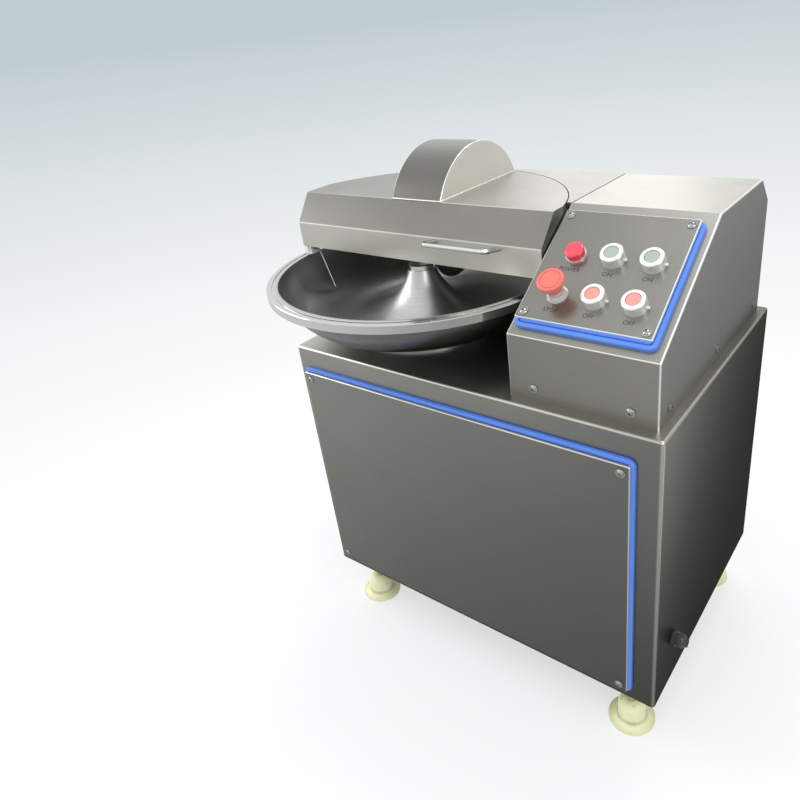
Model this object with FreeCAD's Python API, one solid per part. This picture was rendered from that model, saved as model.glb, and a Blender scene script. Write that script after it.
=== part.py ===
import FreeCAD, Part
import math
import os

# Bowl cutter: a turning bowl, a guarded knife spindle, a hinged lid and a cabinet with both drives
# All sizes are in millimetres
# While modelling, x and y start at the cabinet's front left corner and z starts at the deck
# At the end everything moves so that the origin is under the middle of the whole machine

V = FreeCAD.Vector
UP = V(0, 0, 1)
RIGHT = V(1, 0, 0)
BACK = V(0, 1, 0)

# Cabinet
cabinet_width = 700.0
cabinet_depth = 487.0
cabinet_height = 508.0
sheet = 2.0
corner_round = 6.0
deck_round = 4.0
foot_height = 108.0

# Bowl: the section of its trough is one round arc about the knife shaft's line
bowl_x = 170.0
bowl_wall = 3.5
trough_centre_r = 141.0
trough_centre_z = 148.0
trough_radius = 121.5
rim_top = 120.4
rim_band = 15.4
rim_radius = 279.5
groove_radius = 269.0
groove_width = 3.0
groove_depth = 2.0
hub_bottom = 85.0
hub_top = 112.0
bowl_shaft_r = 17.5
hub_clearance = 0.05
hub_collar_r = 32.0
hub_collar_height = 6.0
hub_stud_r = 12.0
hub_stud_top = 119.0
cap_radius = 22.0
cap_height = 10.0
splash_gap = 5.5
side_gap = 3.5

# Control housing and the rear housing beside it
control_left = bowl_x + rim_radius + side_gap
control_right = cabinet_width - 16.0
control_front = 22.5
nose_height = 100.0
housing_height = 236.5
back_face = cabinet_depth - 10.0
top_back = back_face - 44.0
slope_back = back_face - 245.5
chamfer_low = housing_height - 42.5
housing_round = 3.0
rear_left = 20.0
rear_right = control_left
lip_depth = 15.0
lip_gap = 2.0
bowl_y = back_face - rim_radius - 14.0

# Lid
lid_round = 289.0
lid_centre_y = bowl_y - 46.5
lid_left = bowl_x - 268.0
lid_left_front = lid_left + 9.0
lid_right = control_left - 3.0
lid_front = bowl_y - 45.5
lid_gap = 20.6
lid_top_front = lid_front + 43.0
lid_bottom = rim_top + lid_gap
lid_crease = lid_bottom + 47.0
lid_skirt = 15.0
lid_step_y = bowl_y + 52.5
lid_bend = 5.0
dome_left = bowl_x - 46.0
dome_right = bowl_x + 62.0
dome_front = lid_top_front
dome_back = dome_front + 240.0
dome_rise = 78.0
dome_radius = (((dome_back - dome_front) / 2) ** 2 + dome_rise ** 2) / (2 * dome_rise)
dome_centre_y = (dome_front + dome_back) / 2
dome_centre_z = housing_height + dome_rise - dome_radius
dome_edge = 1.2
slot_front = dome_front + 19.0
slot_back = dome_back - 9.0
handle_left = bowl_x + 77.0
handle_span = 127.0
handle_reach = 40.0
handle_rise = 7.0
handle_rod = 4.0
handle_height = lid_crease - 6.0
handle_bend = 12.0

# Lid hinge
hinge_y = top_back + 7.0
hinge_z = housing_height + 4.5
hinge_pin_r = 3.5
knuckle_r = 6.0
hinge_left = bowl_x - 140.0
hinge_right = hinge_left + 162.0
hinge_gap = 1.0
arm_front = hinge_y - 72.0
pin_clearance = 0.05
rest_gap = 0.3

# Rim scraper under the lid's front left corner
scraper_x = lid_left - 1.0
scraper_width = 18.0
scraper_front = lid_front + 10.0
scraper_depth = 18.0
rod_r = 2.0
rod_bend = 10.0
bolt_flats = 8.0

# Knife spindle
spindle_y = bowl_y + trough_centre_r
spindle_z = 152.0
knife_radius = 117.0
knife_thick = 4.0
knife_bevel = 7.0
knife_hub_r = 31.0
knife_count = 3
knife_first = bowl_x - 12.0
knife_pitch = 17.0
shaft_r = 15.0
hex_flats = 25.0
shoulder_x = knife_first + 47.0
shoulder_wide = 6.0
shoulder_r = 20.0
nose_start = shoulder_x + 9.0
nose_r = 28.0
spindle_flange_r = 62.0
spindle_flange = 8.0
frame_x = control_left + 17.0
frame_thick = 12.0
frame_front = spindle_y - 82.5
frame_back = spindle_y + 95.5
frame_top = spindle_z + 70.0
rear_tube_r = 42.0
run_clearance = 0.05
front_bearing_r = 23.5
front_bearing_wide = 9.0
rear_bearing_r = 31.0
rear_bearing_wide = 16.0
pulley_x = control_right - 78.0
pulley_wide = 34.0
rear_tube_end = pulley_x - 8.0
spindle_pulley_r = 45.0
motor_pulley_r = 53.0
groove_pitch = 15.0
belt_top = 11.0
belt_bottom = 6.0
belt_deep = 8.0
shaft_end = pulley_x + pulley_wide + 4.0

# Knife motor
motor_y = spindle_y - 74.5
wire_slot_left = control_left + 47.0
wire_slot_right = wire_slot_left + 60.0
wire_slot_front = 60.0
wire_slot_back = motor_y - 50.0
belt_slot_left = pulley_x - 12.0
belt_slot_right = pulley_x + pulley_wide + 12.0
belt_slot_front = motor_y - 25.0
belt_slot_back = spindle_y + 55.0
motor_axis_height = 100.0
motor_r = 86.0
motor_right = pulley_x - 46.0
motor_left = motor_right - 200.0
fan_cover = 58.0
motor_shaft_r = 12.0
mount_height = 60.0
mount_plate = 8.0
motor_foot = 12.0
motor_bolt_y = 96.0
motor_bolt_x = 70.0
motor_bolt_r = 4.9
motor_bolt_flats = 16.0
motor_bolt_head = 6.4

# Base frame
angle_leg = 40.0
angle_thick = 4.0
foot_inset_x = 55.0
foot_inset_y = 45.0
foot_plate = 100.0
foot_cup_r = 40.0
foot_rim = 5.0
foot_hub_r = 24.0
foot_hub_top = 46.0
stud_r = 8.0
nut_flats = 24.0
nut_high = 13.0

# Bowl drive
collar_r = 125.0
collar_thick = 4.0
neck_r = 50.0
neck_top = 12.0
bowl_tube_r = 48.0
bowl_tube_bottom = -120.0
bowl_flange_r = 84.0
bowl_flange = 10.0
bowl_bearing_r = 36.0
bowl_bearing_wide = 17.0
worm_distance = 81.0
worm_z = -160.0
wheel_teeth = 40
wheel_root_r = 56.5
wheel_tip_r = 65.5
wheel_wide = 26.0
worm_tip_r = 21.0
worm_root_r = 14.0
worm_shaft_r = 10.0
worm_length = 62.0
gearbox_bottom = -195.0
gearbox_wall = 10.0
gearbox_cover_thick = 8.0
bowl_motor_r = 60.0
bowl_motor_length = 185.0

# Covers, gaskets and screws
panel_left = 20.0
panel_right = cabinet_width - 42.0
panel_bottom = 20.0 - cabinet_height
panel_top = -46.0
panel_sheet = 1.5
panel_fold = 4.0
fold_round = 1.8
gasket_wide = 16.0
gasket_deep = 6.0
gasket_left = panel_left - 4.0
gasket_right = panel_right + 6.0
gasket_bottom = panel_bottom - 2.0
gasket_top = panel_top + 8.0
gasket_corner = 12.0
gasket_groove = 3.0
gasket_groove_wide = 1.2
gasket_round = 2.2
panel_screw_inset = 13.0
plate_screw_inset = 11.0
screw_r = 2.5
screw_play = 0.2
screw_collar_r = 7.0
screw_collar = 1.0
screw_head_r = 5.5
screw_head = 3.5
screw_socket = 3.0
rear_sheet = 1.5
rear_margin = 70.0
rear_low = 48.0 - cabinet_height
rear_high = -60.0
housing_front_screws = (control_left + 42.0, control_right - 40.0)
housing_side_screws = (60.0, (60.0 + back_face - 31.0) / 2, back_face - 31.0)
housing_screw_z = 19.0

# Control plate on the slope: s runs up the slope from its lower edge
plate_left = control_left + 7.0
plate_right = control_right - 18.0
plate_low = 24.0
plate_high = 226.0
plate_fold = 5.0
seal_left = plate_left - 1.0
seal_right = plate_right + 7.0
seal_low = plate_low - 11.0
seal_high = plate_high + 2.0
seal_deep = 7.0
column_pitch = (plate_right - plate_left) * 0.284
column_x = plate_left + (plate_right - plate_left) / 2 - 53.0 / 58.5 * column_pitch
row_low = 71.0
row_pitch = 71.5
device_bore = 11.2
bezel_r = 17.0
bezel_high = 17.0
bezel_base = 3.0
bezel_tab = 3.0
bezel_round = 2.5
button_r = 10.5
button_stem_r = 8.0
button_travel = 4.0
button_play = 0.3
contact_side = 30.0
contact_deep = 42.0
lamp_r = 14.5
lamp_high = 11.0
estop_head_r = 20.0
estop_head_high = 21.0
estop_collar_r = 15.0
estop_collar_high = 8.0
estop_travel = 6.0

# Electrical box on the left wall and the cable gland on the right side
box_reach = 130.0
box_front = 120.0
box_back = cabinet_depth - 127.0
box_low = 68.0 - cabinet_height
box_high = gearbox_bottom - 55.0
gland_y = 75.0
gland_z = 88.0 - cabinet_height
gland_flats = 24.0
gland_nut_flats = 22.0
gland_length = 24.0
cable_r = 5.0

parts = {}


def box(x0, x1, y0, y1, z0, z1):
    return Part.makeBox(x1 - x0, y1 - y0, z1 - z0, V(x0, y0, z0))


def rod_x(y, z, x0, x1, r):
    return Part.makeCylinder(r, x1 - x0, V(x0, y, z), RIGHT)


def rod_y(x, z, y0, y1, r):
    return Part.makeCylinder(r, y1 - y0, V(x, y0, z), BACK)


def rod_z(x, y, z0, z1, r):
    return Part.makeCylinder(r, z1 - z0, V(x, y, z0), UP)


def ring_x(y, z, x0, x1, outer, inner):
    return rod_x(y, z, x0, x1, outer).cut(rod_x(y, z, x0 - 1, x1 + 1, inner))


def ring_z(x, y, z0, z1, outer, inner):
    return rod_z(x, y, z0, z1, outer).cut(rod_z(x, y, z0 - 1, z1 + 1, inner))


def face_of(points):
    return Part.Face(Part.makePolygon(points + [points[0]]))


def prism_x(outline, x0, x1):
    """Extrudes an outline of (y, z) points along x."""
    return face_of([V(x0, y, z) for y, z in outline]).extrude(V(x1 - x0, 0, 0))


def prism_z(outline, z0, z1):
    """Extrudes an outline of (x, y) points upwards."""
    return face_of([V(x, y, z0) for x, y in outline]).extrude(V(0, 0, z1 - z0))


def hexagon(flats):
    corner = flats / 2 / math.cos(math.pi / 6)
    return [(corner * math.cos(math.radians(60 * k)), corner * math.sin(math.radians(60 * k)))
            for k in range(6)]


def turned(steps, axis_point, axis):
    """Joins stacked cylinders, each given as start, end and radius along the axis."""
    shape = None
    for start, end, radius in steps:
        piece = Part.makeCylinder(radius, end - start, axis_point + axis * start, axis)
        shape = piece if shape is None else shape.fuse(piece)
    return shape.removeSplitter()


def rounded(shape, radius, wanted):
    """Rounds the straight edges that the test picks."""
    edges = [edge for edge in shape.Edges if wanted(edge)]
    return shape.makeFillet(radius, edges) if edges else shape


def along(edge, axis):
    start, end = edge.Vertexes[0].Point, edge.Vertexes[-1].Point
    run = end - start
    return run.Length > 1e-6 and abs(abs(run.normalize().dot(axis)) - 1) < 1e-6


def keep(name, *shapes):
    """Stores a piece, as one solid or as a group of separate solids."""
    solids = [solid for shape in shapes for solid in shape.Solids]
    parts[name] = solids[0] if len(solids) == 1 else Part.makeCompound(solids)


# Slope frame: the flat drawing plane (x, s, height) tilts up about the nose edge
slope_angle = math.degrees(math.atan2(housing_height - nose_height, slope_back - control_front))


def on_slope(shape):
    placed = shape.copy()
    placed.rotate(V(0, 0, 0), RIGHT, slope_angle)
    placed.translate(V(0, control_front, nose_height))
    return placed


def spindle_point(x):
    return V(x, spindle_y, spindle_z)


def trough_r(z, radius, side):
    """Radius from the bowl's axis of the trough wall at a height, outer side 1 or cone side -1."""
    return trough_centre_r + side * math.sqrt(radius ** 2 - (trough_centre_z - z) ** 2)


def arc_edge(radius, start, end):
    """Lower arc of the trough section between two (r, z) points."""
    middle = V(trough_centre_r, 0, trough_centre_z - radius)
    return Part.Arc(V(start[0], 0, start[1]), middle, V(end[0], 0, end[1])).toShape()


def curve(start, through, end):
    """Round arc through three (r, z) points of a turned section."""
    return Part.Arc(*[V(r, 0, z) for r, z in (start, through, end)]).toShape()


def line_edges(points):
    return [Part.LineSegment(V(a[0], 0, a[1]), V(b[0], 0, b[1])).toShape()
            for a, b in zip(points, points[1:])]


# Bowl

def make_bowl():
    under = trough_radius + bowl_wall
    bore = bowl_shaft_r + hub_clearance
    rim_under = rim_top - rim_band
    cone_top = (trough_r(hub_top, trough_radius, -1), hub_top)
    lip = (trough_r(rim_top, trough_radius, 1), rim_top)
    under_out = (trough_r(rim_under, under, 1), rim_under)
    under_in = (trough_r(hub_bottom, under, -1), hub_bottom)
    half = groove_width / 2
    rim = [lip, (groove_radius - half, rim_top), (groove_radius - half, rim_top - groove_depth),
           (groove_radius + half, rim_top - groove_depth), (groove_radius + half, rim_top),
           (rim_radius - 1, rim_top), (rim_radius, rim_top - 1), (rim_radius, rim_under + 1),
           (rim_radius - 1, rim_under), under_out]
    hub = [under_in, (bore, hub_bottom), (bore, hub_top), cone_top]
    edges = [arc_edge(trough_radius, cone_top, lip)] + line_edges(rim)
    edges += [arc_edge(under, under_out, under_in)] + line_edges(hub)
    profile = Part.Face(Part.Wire(Part.__sortEdges__(edges)))
    bowl = profile.revolve(V(0, 0, 0), UP, 360)
    bowl.translate(V(bowl_x, bowl_y, 0))
    keep("bowl", bowl)

    cap = rod_z(bowl_x, bowl_y, hub_top, hub_top + cap_height, cap_radius)
    cap = cap.makeChamfer(2, [e for e in cap.Edges if e.CenterOfMass.z > hub_top + cap_height - 0.1])
    stud_hole = rod_z(bowl_x, bowl_y, hub_top - 1, hub_stud_top + hub_clearance, hub_stud_r + hub_clearance)
    cap = cap.cut(stud_hole)
    keep("bowl_cap_nut", cap)

    collar = (hub_bottom - hub_collar_height, hub_bottom, hub_collar_r)
    shaft = turned([(gearbox_bottom + 2, hub_bottom - hub_collar_height, bowl_shaft_r), collar,
                    (hub_bottom, hub_top, bowl_shaft_r), (hub_top, hub_stud_top, hub_stud_r)],
                   V(bowl_x, bowl_y, 0), UP)
    keep("bowl_shaft", shaft)


def bearing(centre, axis, width, inner, outer):
    """One sealed ball bearing: outer ring, inner ring and the seal between them."""
    wall = (outer - inner) * 0.28
    recess = 0.8
    pieces = []
    rings = ((outer, outer - wall, 0), (outer - wall, inner + wall, recess), (inner + wall, inner, 0))
    for big, small, drop in rings:
        base = centre + axis * drop
        ring = Part.makeCylinder(big, width - 2 * drop, base, axis)
        pieces.append(ring.cut(Part.makeCylinder(small, width - 2 * drop, base, axis)))
    return pieces


def make_bowl_drive():
    collar = ring_z(bowl_x, bowl_y, 0, collar_thick, collar_r, neck_r)
    collar = collar.fuse(ring_z(bowl_x, bowl_y, 0, neck_top, neck_r + 4, neck_r)).removeSplitter()
    keep("deck_collar", collar)

    bottom_seat = bowl_tube_bottom + 3 + bowl_bearing_wide
    top_seat = -7.0 - bowl_bearing_wide
    tube = rod_z(bowl_x, bowl_y, bowl_tube_bottom, neck_top - 4, bowl_tube_r)
    tube = tube.fuse(rod_z(bowl_x, bowl_y, -sheet - bowl_flange, -sheet, bowl_flange_r)).removeSplitter()
    tube = tube.cut(rod_z(bowl_x, bowl_y, bowl_tube_bottom - 1, bottom_seat, bowl_bearing_r))
    tube = tube.cut(rod_z(bowl_x, bowl_y, top_seat, neck_top, bowl_bearing_r))
    tube = tube.cut(rod_z(bowl_x, bowl_y, bottom_seat - 1, top_seat + 1, bowl_bearing_r - 4))
    keep("bowl_bearing_housing", tube)

    inner = bowl_shaft_r + run_clearance
    low = bearing(V(bowl_x, bowl_y, bottom_seat - bowl_bearing_wide), UP, bowl_bearing_wide, inner,
                  bowl_bearing_r)
    high = bearing(V(bowl_x, bowl_y, top_seat), UP, bowl_bearing_wide, inner, bowl_bearing_r)
    keep("bowl_bearings", *(low + high))
    keep("bowl_shaft_seal", ring_z(bowl_x, bowl_y, -7, 3, bowl_bearing_r, inner))

    # Worm gear unit under the deck
    wheel = ring_z(bowl_x, bowl_y, worm_z - wheel_wide / 2, worm_z + wheel_wide / 2, wheel_tip_r,
                   bowl_shaft_r)
    worm_x = bowl_x + worm_distance
    gap_angle = 360.0 / wheel_teeth
    space = wheel_tip_r * math.radians(gap_angle) * 0.5
    depth = wheel_tip_r - wheel_root_r
    notch_outline = [(wheel_root_r, -space * 0.28), (wheel_tip_r + 1, -space * 0.6),
                     (wheel_tip_r + 1, space * 0.6), (wheel_root_r, space * 0.28)]
    notch = prism_z(notch_outline, worm_z - wheel_wide, worm_z + wheel_wide)
    notches = []
    for k in range(wheel_teeth):
        one = notch.copy()
        one.rotate(V(0, 0, 0), UP, gap_angle * k)
        one.translate(V(bowl_x, bowl_y, 0))
        notches.append(one)
    wheel = wheel.cut(Part.makeCompound(notches))
    throat = Part.makeTorus(worm_distance, worm_tip_r - depth + 2.5, V(bowl_x, bowl_y, worm_z), UP)
    wheel = wheel.cut(throat)
    keep("worm_wheel", wheel)

    worm_front = bowl_y - worm_length / 2
    worm_back = bowl_y + worm_length / 2
    front = bowl_y - wheel_tip_r - 6 - gearbox_wall
    back = bowl_y + wheel_tip_r + 6 + gearbox_wall
    worm = turned([(front + 2, worm_front, worm_shaft_r), (worm_front, worm_back, worm_root_r),
                   (worm_back, back + 40, worm_shaft_r)], V(worm_x, 0, worm_z), BACK)
    keep("worm_shaft", worm)

    left = bowl_x - wheel_tip_r - 6 - gearbox_wall
    right = worm_x + worm_tip_r + 6 + gearbox_wall
    case = box(left, right, front, back, gearbox_bottom, bowl_tube_bottom)
    case = rounded(case, 12, lambda e: along(e, UP))
    cavity_top = worm_z + worm_tip_r + 2
    cavity = rod_z(bowl_x, bowl_y, gearbox_bottom - 1, cavity_top, wheel_tip_r + 4)
    cavity = cavity.fuse(box(worm_x - worm_tip_r - 4, worm_x + worm_tip_r + 4, bowl_y - worm_length / 2 - 4,
                             bowl_y + worm_length / 2 + 4, gearbox_bottom - 1, cavity_top))
    case = case.cut(cavity)
    case = case.cut(rod_z(bowl_x, bowl_y, gearbox_bottom - 1, bowl_tube_bottom + 1, bowl_shaft_r + 1))
    case = case.cut(rod_y(worm_x, worm_z, front + 1, back + 1, worm_shaft_r + run_clearance))
    keep("gearbox_housing", case)
    cover_bottom = gearbox_bottom - gearbox_cover_thick
    cover = box(left + 4, right - 4, front + 4, back - 4, cover_bottom, gearbox_bottom)
    cover = rounded(cover, 10, lambda e: along(e, UP))
    keep("gearbox_cover", cover)

    motor = rod_y(worm_x, worm_z, back + 12, back + bowl_motor_length, bowl_motor_r)
    motor = motor.fuse(box(worm_x - 45, worm_x + 45, back, back + 12, worm_z - 34, worm_z + 39))
    terminal = box(worm_x - bowl_motor_r - 28, worm_x, back + 40, back + 110, worm_z - 30, worm_z + 30)
    motor = motor.fuse(terminal)
    motor = motor.cut(rod_y(worm_x, worm_z, back - 1, back + 42, worm_shaft_r + run_clearance))
    keep("bowl_motor", motor.removeSplitter())


# Knife spindle

def knife_blade():
    """Sickle shaped knife in the y and z plane about the spindle's line."""
    disc = rod_x(0, 0, 0, knife_thick, knife_radius)
    lobe_r = knife_radius * 0.64
    lobe = Part.makeCone(lobe_r - knife_bevel, lobe_r, knife_thick, V(0, 14, 45), RIGHT)
    hollow = rod_x(47, 60, -1, knife_thick + 1, knife_radius * 0.54)
    blade = lobe.common(disc).cut(hollow)
    blade = blade.fuse(rod_x(0, 0, 0, knife_thick, knife_hub_r)).removeSplitter()
    bore = prism_x(hexagon(hex_flats + 2 * hub_clearance), -1, knife_thick + 1)
    return blade.cut(bore)


def make_knives():
    blades = []
    for k in range(knife_count):
        blade = knife_blade()
        blade.rotate(V(0, 0, 0), RIGHT, 360.0 * k / knife_count)
        blade.translate(spindle_point(knife_first + knife_pitch * k))
        blades.append(blade)
    keep("knives", *blades)

    starts = [knife_first + knife_thick + knife_pitch * k for k in range(knife_count)]
    ends = [start - knife_thick for start in starts[1:]] + [shoulder_x]
    spacer_bore = hex_flats / 2 / math.cos(math.pi / 6) + hub_clearance
    spacers = [ring_x(spindle_y, spindle_z, start, end, knife_hub_r - 6, spacer_bore)
               for start, end in zip(starts, ends)]
    keep("knife_spacers", *spacers)

    nut = rod_x(spindle_y, spindle_z, knife_first - 14, knife_first, knife_hub_r - 4)
    nut = nut.makeChamfer(3, [e for e in nut.Edges if e.CenterOfMass.x < knife_first - 13.9])
    nut = nut.cut(rod_x(spindle_y, spindle_z, knife_first - 11, knife_first + 1, 10 + hub_clearance))
    keep("knife_nut", nut)

    hex_plan = [(spindle_y + y, spindle_z + z) for y, z in hexagon(hex_flats)]
    hex_part = prism_x(hex_plan, knife_first, shoulder_x)
    shoulder_end = shoulder_x + shoulder_wide
    steps = [(shoulder_x, shoulder_end, shoulder_r), (shoulder_end, shaft_end, shaft_r)]
    shaft = turned(steps, spindle_point(0), RIGHT)
    shaft = shaft.fuse(hex_part).fuse(rod_x(spindle_y, spindle_z, knife_first - 11, knife_first, 10))
    keep("knife_shaft", shaft.removeSplitter())


def make_spindle():
    plate = box(frame_x, frame_x + frame_thick, frame_front, frame_back, 0, frame_top)
    foot = box(frame_x, frame_x + 70, frame_front, frame_back, 0, frame_thick)
    rib_outline = [(frame_x + frame_thick, frame_thick), (frame_x + 66, frame_thick),
                   (frame_x + frame_thick, 80)]
    plate = plate.fuse(foot)
    for y in (frame_front, frame_back - 10):
        rib = face_of([V(x, y, z) for x, z in rib_outline]).extrude(V(0, 10, 0))
        plate = plate.fuse(rib)
    plate = plate.cut(rod_x(spindle_y, spindle_z, frame_x - 1, frame_x + frame_thick + 1, rear_tube_r))
    keep("spindle_frame", plate.removeSplitter())

    flange_x = frame_x - spindle_flange
    housing = turned([(nose_start, flange_x, nose_r), (flange_x, frame_x, spindle_flange_r),
                      (frame_x, rear_tube_end, rear_tube_r)], spindle_point(0), RIGHT)
    front_seat = nose_start + 6 + 2 * front_bearing_wide
    rear_seat = rear_tube_end - rear_bearing_wide - 4
    housing = housing.cut(rod_x(spindle_y, spindle_z, nose_start - 1, front_seat, front_bearing_r))
    housing = housing.cut(rod_x(spindle_y, spindle_z, front_seat - 1, rear_seat + 1, shaft_r + 4))
    housing = housing.cut(rod_x(spindle_y, spindle_z, rear_seat, rear_tube_end + 1, rear_bearing_r))
    keep("spindle_bearing_housing", housing)
    inner = shaft_r + run_clearance
    pieces = []
    for k in range(2):
        place = spindle_point(front_seat - front_bearing_wide * (k + 1))
        pieces += bearing(place, RIGHT, front_bearing_wide, inner, front_bearing_r)
    pieces += bearing(spindle_point(rear_seat), RIGHT, rear_bearing_wide, inner, rear_bearing_r)
    seal_start = front_seat - 2 * front_bearing_wide
    seal = ring_x(spindle_y, spindle_z, nose_start, seal_start, front_bearing_r, inner)
    keep("spindle_bearings", *(pieces + [seal]))


def pulley(centre_y, centre_z, radius, bore):
    """Two groove belt pulley along x."""
    wheel = ring_x(centre_y, centre_z, pulley_x, pulley_x + pulley_wide, radius + 3, bore)
    for side in (-0.5, 0.5):
        middle = pulley_x + pulley_wide / 2 + side * groove_pitch
        bottom = radius + 1 - belt_deep
        low_half = belt_bottom / 2 + 0.5
        high_half = belt_top / 2 + 0.9
        outline = [V(middle - low_half, 0, bottom), V(middle + low_half, 0, bottom),
                   V(middle + high_half, 0, radius + 4), V(middle - high_half, 0, radius + 4)]
        groove = face_of(outline).revolve(V(0, 0, 0), RIGHT, 360)
        groove.translate(V(0, centre_y, centre_z))
        wheel = wheel.cut(groove)
    return wheel


def belt(middle, low_y, low_z):
    """One V belt swept round both pulleys."""
    top = V(middle, spindle_y, spindle_z)
    low = V(middle, low_y, low_z)
    run = top - low
    lean = math.asin((motor_pulley_r - spindle_pulley_r) / run.Length)
    base = math.atan2(run.z, run.y)
    ends = []
    wraps = ((top, spindle_pulley_r, base + math.pi / 2 + lean, math.pi - 2 * lean),
             (low, motor_pulley_r, base - math.pi / 2 - lean, math.pi + 2 * lean))
    for centre, radius, start, sweep in wraps:
        arc = [start - sweep * f for f in (0, 0.5, 1)]
        ends.append([centre + V(0, math.cos(a), math.sin(a)) * radius for a in arc])
    up, down = ends
    path = Part.Wire([Part.Arc(*up).toShape(), Part.LineSegment(up[2], down[0]).toShape(),
                      Part.Arc(*down).toShape(), Part.LineSegment(down[2], up[0]).toShape()])
    out = (up[0] - top).normalize()
    corners_in = [(-belt_top / 2, 2), (belt_top / 2, 2), (belt_bottom / 2, 2 - belt_deep),
                  (-belt_bottom / 2, 2 - belt_deep)]
    section = Part.makePolygon([up[0] + out * h + RIGHT * w for w, h in corners_in + corners_in[:1]])
    return path.makePipeShell([section], True, False)


def make_motor():
    axis_z = -cabinet_height + angle_thick + mount_height + mount_plate + motor_axis_height
    plate_z = axis_z - motor_axis_height
    body = rod_x(motor_y, axis_z, motor_left, motor_right, motor_r)
    body = body.fuse(rod_x(motor_y, axis_z, motor_right, motor_right + 10, motor_r - 16))
    fan = rod_x(motor_y, axis_z, motor_left - fan_cover, motor_left, motor_r + 2)
    fan_end = motor_left - fan_cover
    fan = rounded(fan, 14, lambda e: e.CenterOfMass.x < fan_end + 1 and e.Length > motor_r * 4)
    feet = box(motor_left + 40, motor_right - 40, motor_y - 106, motor_y + 106, plate_z,
               plate_z + motor_foot)
    legs = box(motor_left + 50, motor_right - 50, motor_y - 60, motor_y + 60, plate_z, axis_z)
    terminal = box(motor_left + 60, motor_left + 160, motor_y - 45, motor_y + 45, axis_z,
                   axis_z + motor_r + 42)
    fins = []
    for k in range(-4, 5):
        if k:
            fin_z = axis_z + 13.0 * k
            fins.append(box(motor_left + 12, motor_right - 12, motor_y - motor_r - 8, motor_y + motor_r + 8,
                            fin_z - 2, fin_z + 2))
    body = body.multiFuse([fan, feet, legs, terminal] + fins).removeSplitter()
    shaft_bore = motor_shaft_r + run_clearance
    body = body.cut(rod_x(motor_y, axis_z, motor_right - 40, motor_right + 11, shaft_bore))
    bolt_places = [(x, motor_y + side) for x in (motor_left + motor_bolt_x, motor_right - motor_bolt_x)
                   for side in (-motor_bolt_y, motor_bolt_y)]
    for x, y in bolt_places:
        body = body.cut(rod_z(x, y, plate_z - 1, plate_z + motor_foot + 1, motor_bolt_r + hub_clearance))
    keep("knife_motor", body)

    shaft = rod_x(motor_y, axis_z, motor_right - 38, shaft_end, motor_shaft_r)
    keep("motor_shaft", shaft)
    keep("motor_pulley", pulley(motor_y, axis_z, motor_pulley_r, motor_shaft_r))
    keep("spindle_pulley", pulley(spindle_y, spindle_z, spindle_pulley_r, shaft_r))
    belts = [belt(pulley_x + pulley_wide / 2 + side * groove_pitch, motor_y, axis_z) for side in (-0.5, 0.5)]
    keep("v_belts", *belts)

    # Two cross channels and a slotted plate carry the motor
    floor_z = -cabinet_height + angle_thick
    rail_start = sheet + angle_thick
    rails = None
    for x in (motor_left + 20, motor_right - 60):
        rail = box(x, x + 40, rail_start, cabinet_depth - rail_start, floor_z, floor_z + mount_height)
        rail = rail.cut(box(x + 4, x + 41, sheet, cabinet_depth, floor_z + 4, floor_z + mount_height - 4))
        rails = rail if rails is None else rails.fuse(rail)
    plate = box(motor_left, motor_right - 10, motor_y - 110, motor_y + 110, floor_z + mount_height, plate_z)
    slots = [box(x - 20, x + 20, y - 5, y + 5, floor_z, plate_z + 1) for x, y in bolt_places]
    plate = plate.cut(Part.makeCompound(slots))
    bolts = []
    for x, y in bolt_places:
        head_z = plate_z + motor_foot
        hex_plan = [(x + dx, y + dy) for dx, dy in hexagon(motor_bolt_flats)]
        bolt = rod_z(x, y, plate_z - mount_plate - motor_bolt_head - 4, head_z, motor_bolt_r)
        bolts.append(bolt.fuse(prism_z(hex_plan, head_z, head_z + motor_bolt_head)).removeSplitter())
        nut = prism_z(hex_plan, plate_z - mount_plate - motor_bolt_head, plate_z - mount_plate)
        bolts.append(nut.cut(rod_z(x, y, floor_z, plate_z, motor_bolt_r)))
    keep("motor_mount", rails.fuse(plate), *bolts)


# Cabinet

def cabinet_block(inset):
    """Cabinet outline with its upright corners and deck edges rounded, drawn in by a wall."""
    block = box(inset, cabinet_width - inset, inset, cabinet_depth - inset, -cabinet_height - inset, -inset)
    block = rounded(block, corner_round - inset, lambda e: along(e, UP))
    return rounded(block, deck_round - inset, lambda e: e.BoundBox.ZMin > -inset - 0.1)


def deck_strips(x0, x1, near, far, high):
    """Blocks for the deck's welded strips, whose edges bound the slots for the belts and the wires."""
    whole = ((x0, wire_slot_left), (wire_slot_right, belt_slot_left), (belt_slot_right, x1))
    strips = [box(left, right, near, far, -deck_round, high) for left, right in whole]
    strips.append(box(wire_slot_left, wire_slot_right, near, wire_slot_front, -deck_round, high))
    strips.append(box(wire_slot_left, wire_slot_right, wire_slot_back, far, -deck_round, high))
    strips.append(box(belt_slot_left, belt_slot_right, near, belt_slot_front, -deck_round, high))
    strips.append(box(belt_slot_left, belt_slot_right, belt_slot_back, far, -deck_round, high))
    return strips


def cabinet_sheets(shell):
    """Sides, deck strips, front frame and back frame of the cabinet, which meet at welded seams."""
    low, high = -cabinet_height - 1, 1
    near, far = -1, cabinet_depth + 1
    x0, x1 = corner_round, cabinet_width - corner_round
    middle = cabinet_depth / 2
    blocks = [box(-1, x0, near, far, low, high), box(x1, cabinet_width + 1, near, far, low, high),
              box(x0, x1, near, middle, low, -deck_round), box(x0, x1, middle, far, low, -deck_round)]
    blocks += deck_strips(x0, x1, near, far, high)
    return [shell.common(block) for block in blocks]


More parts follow.
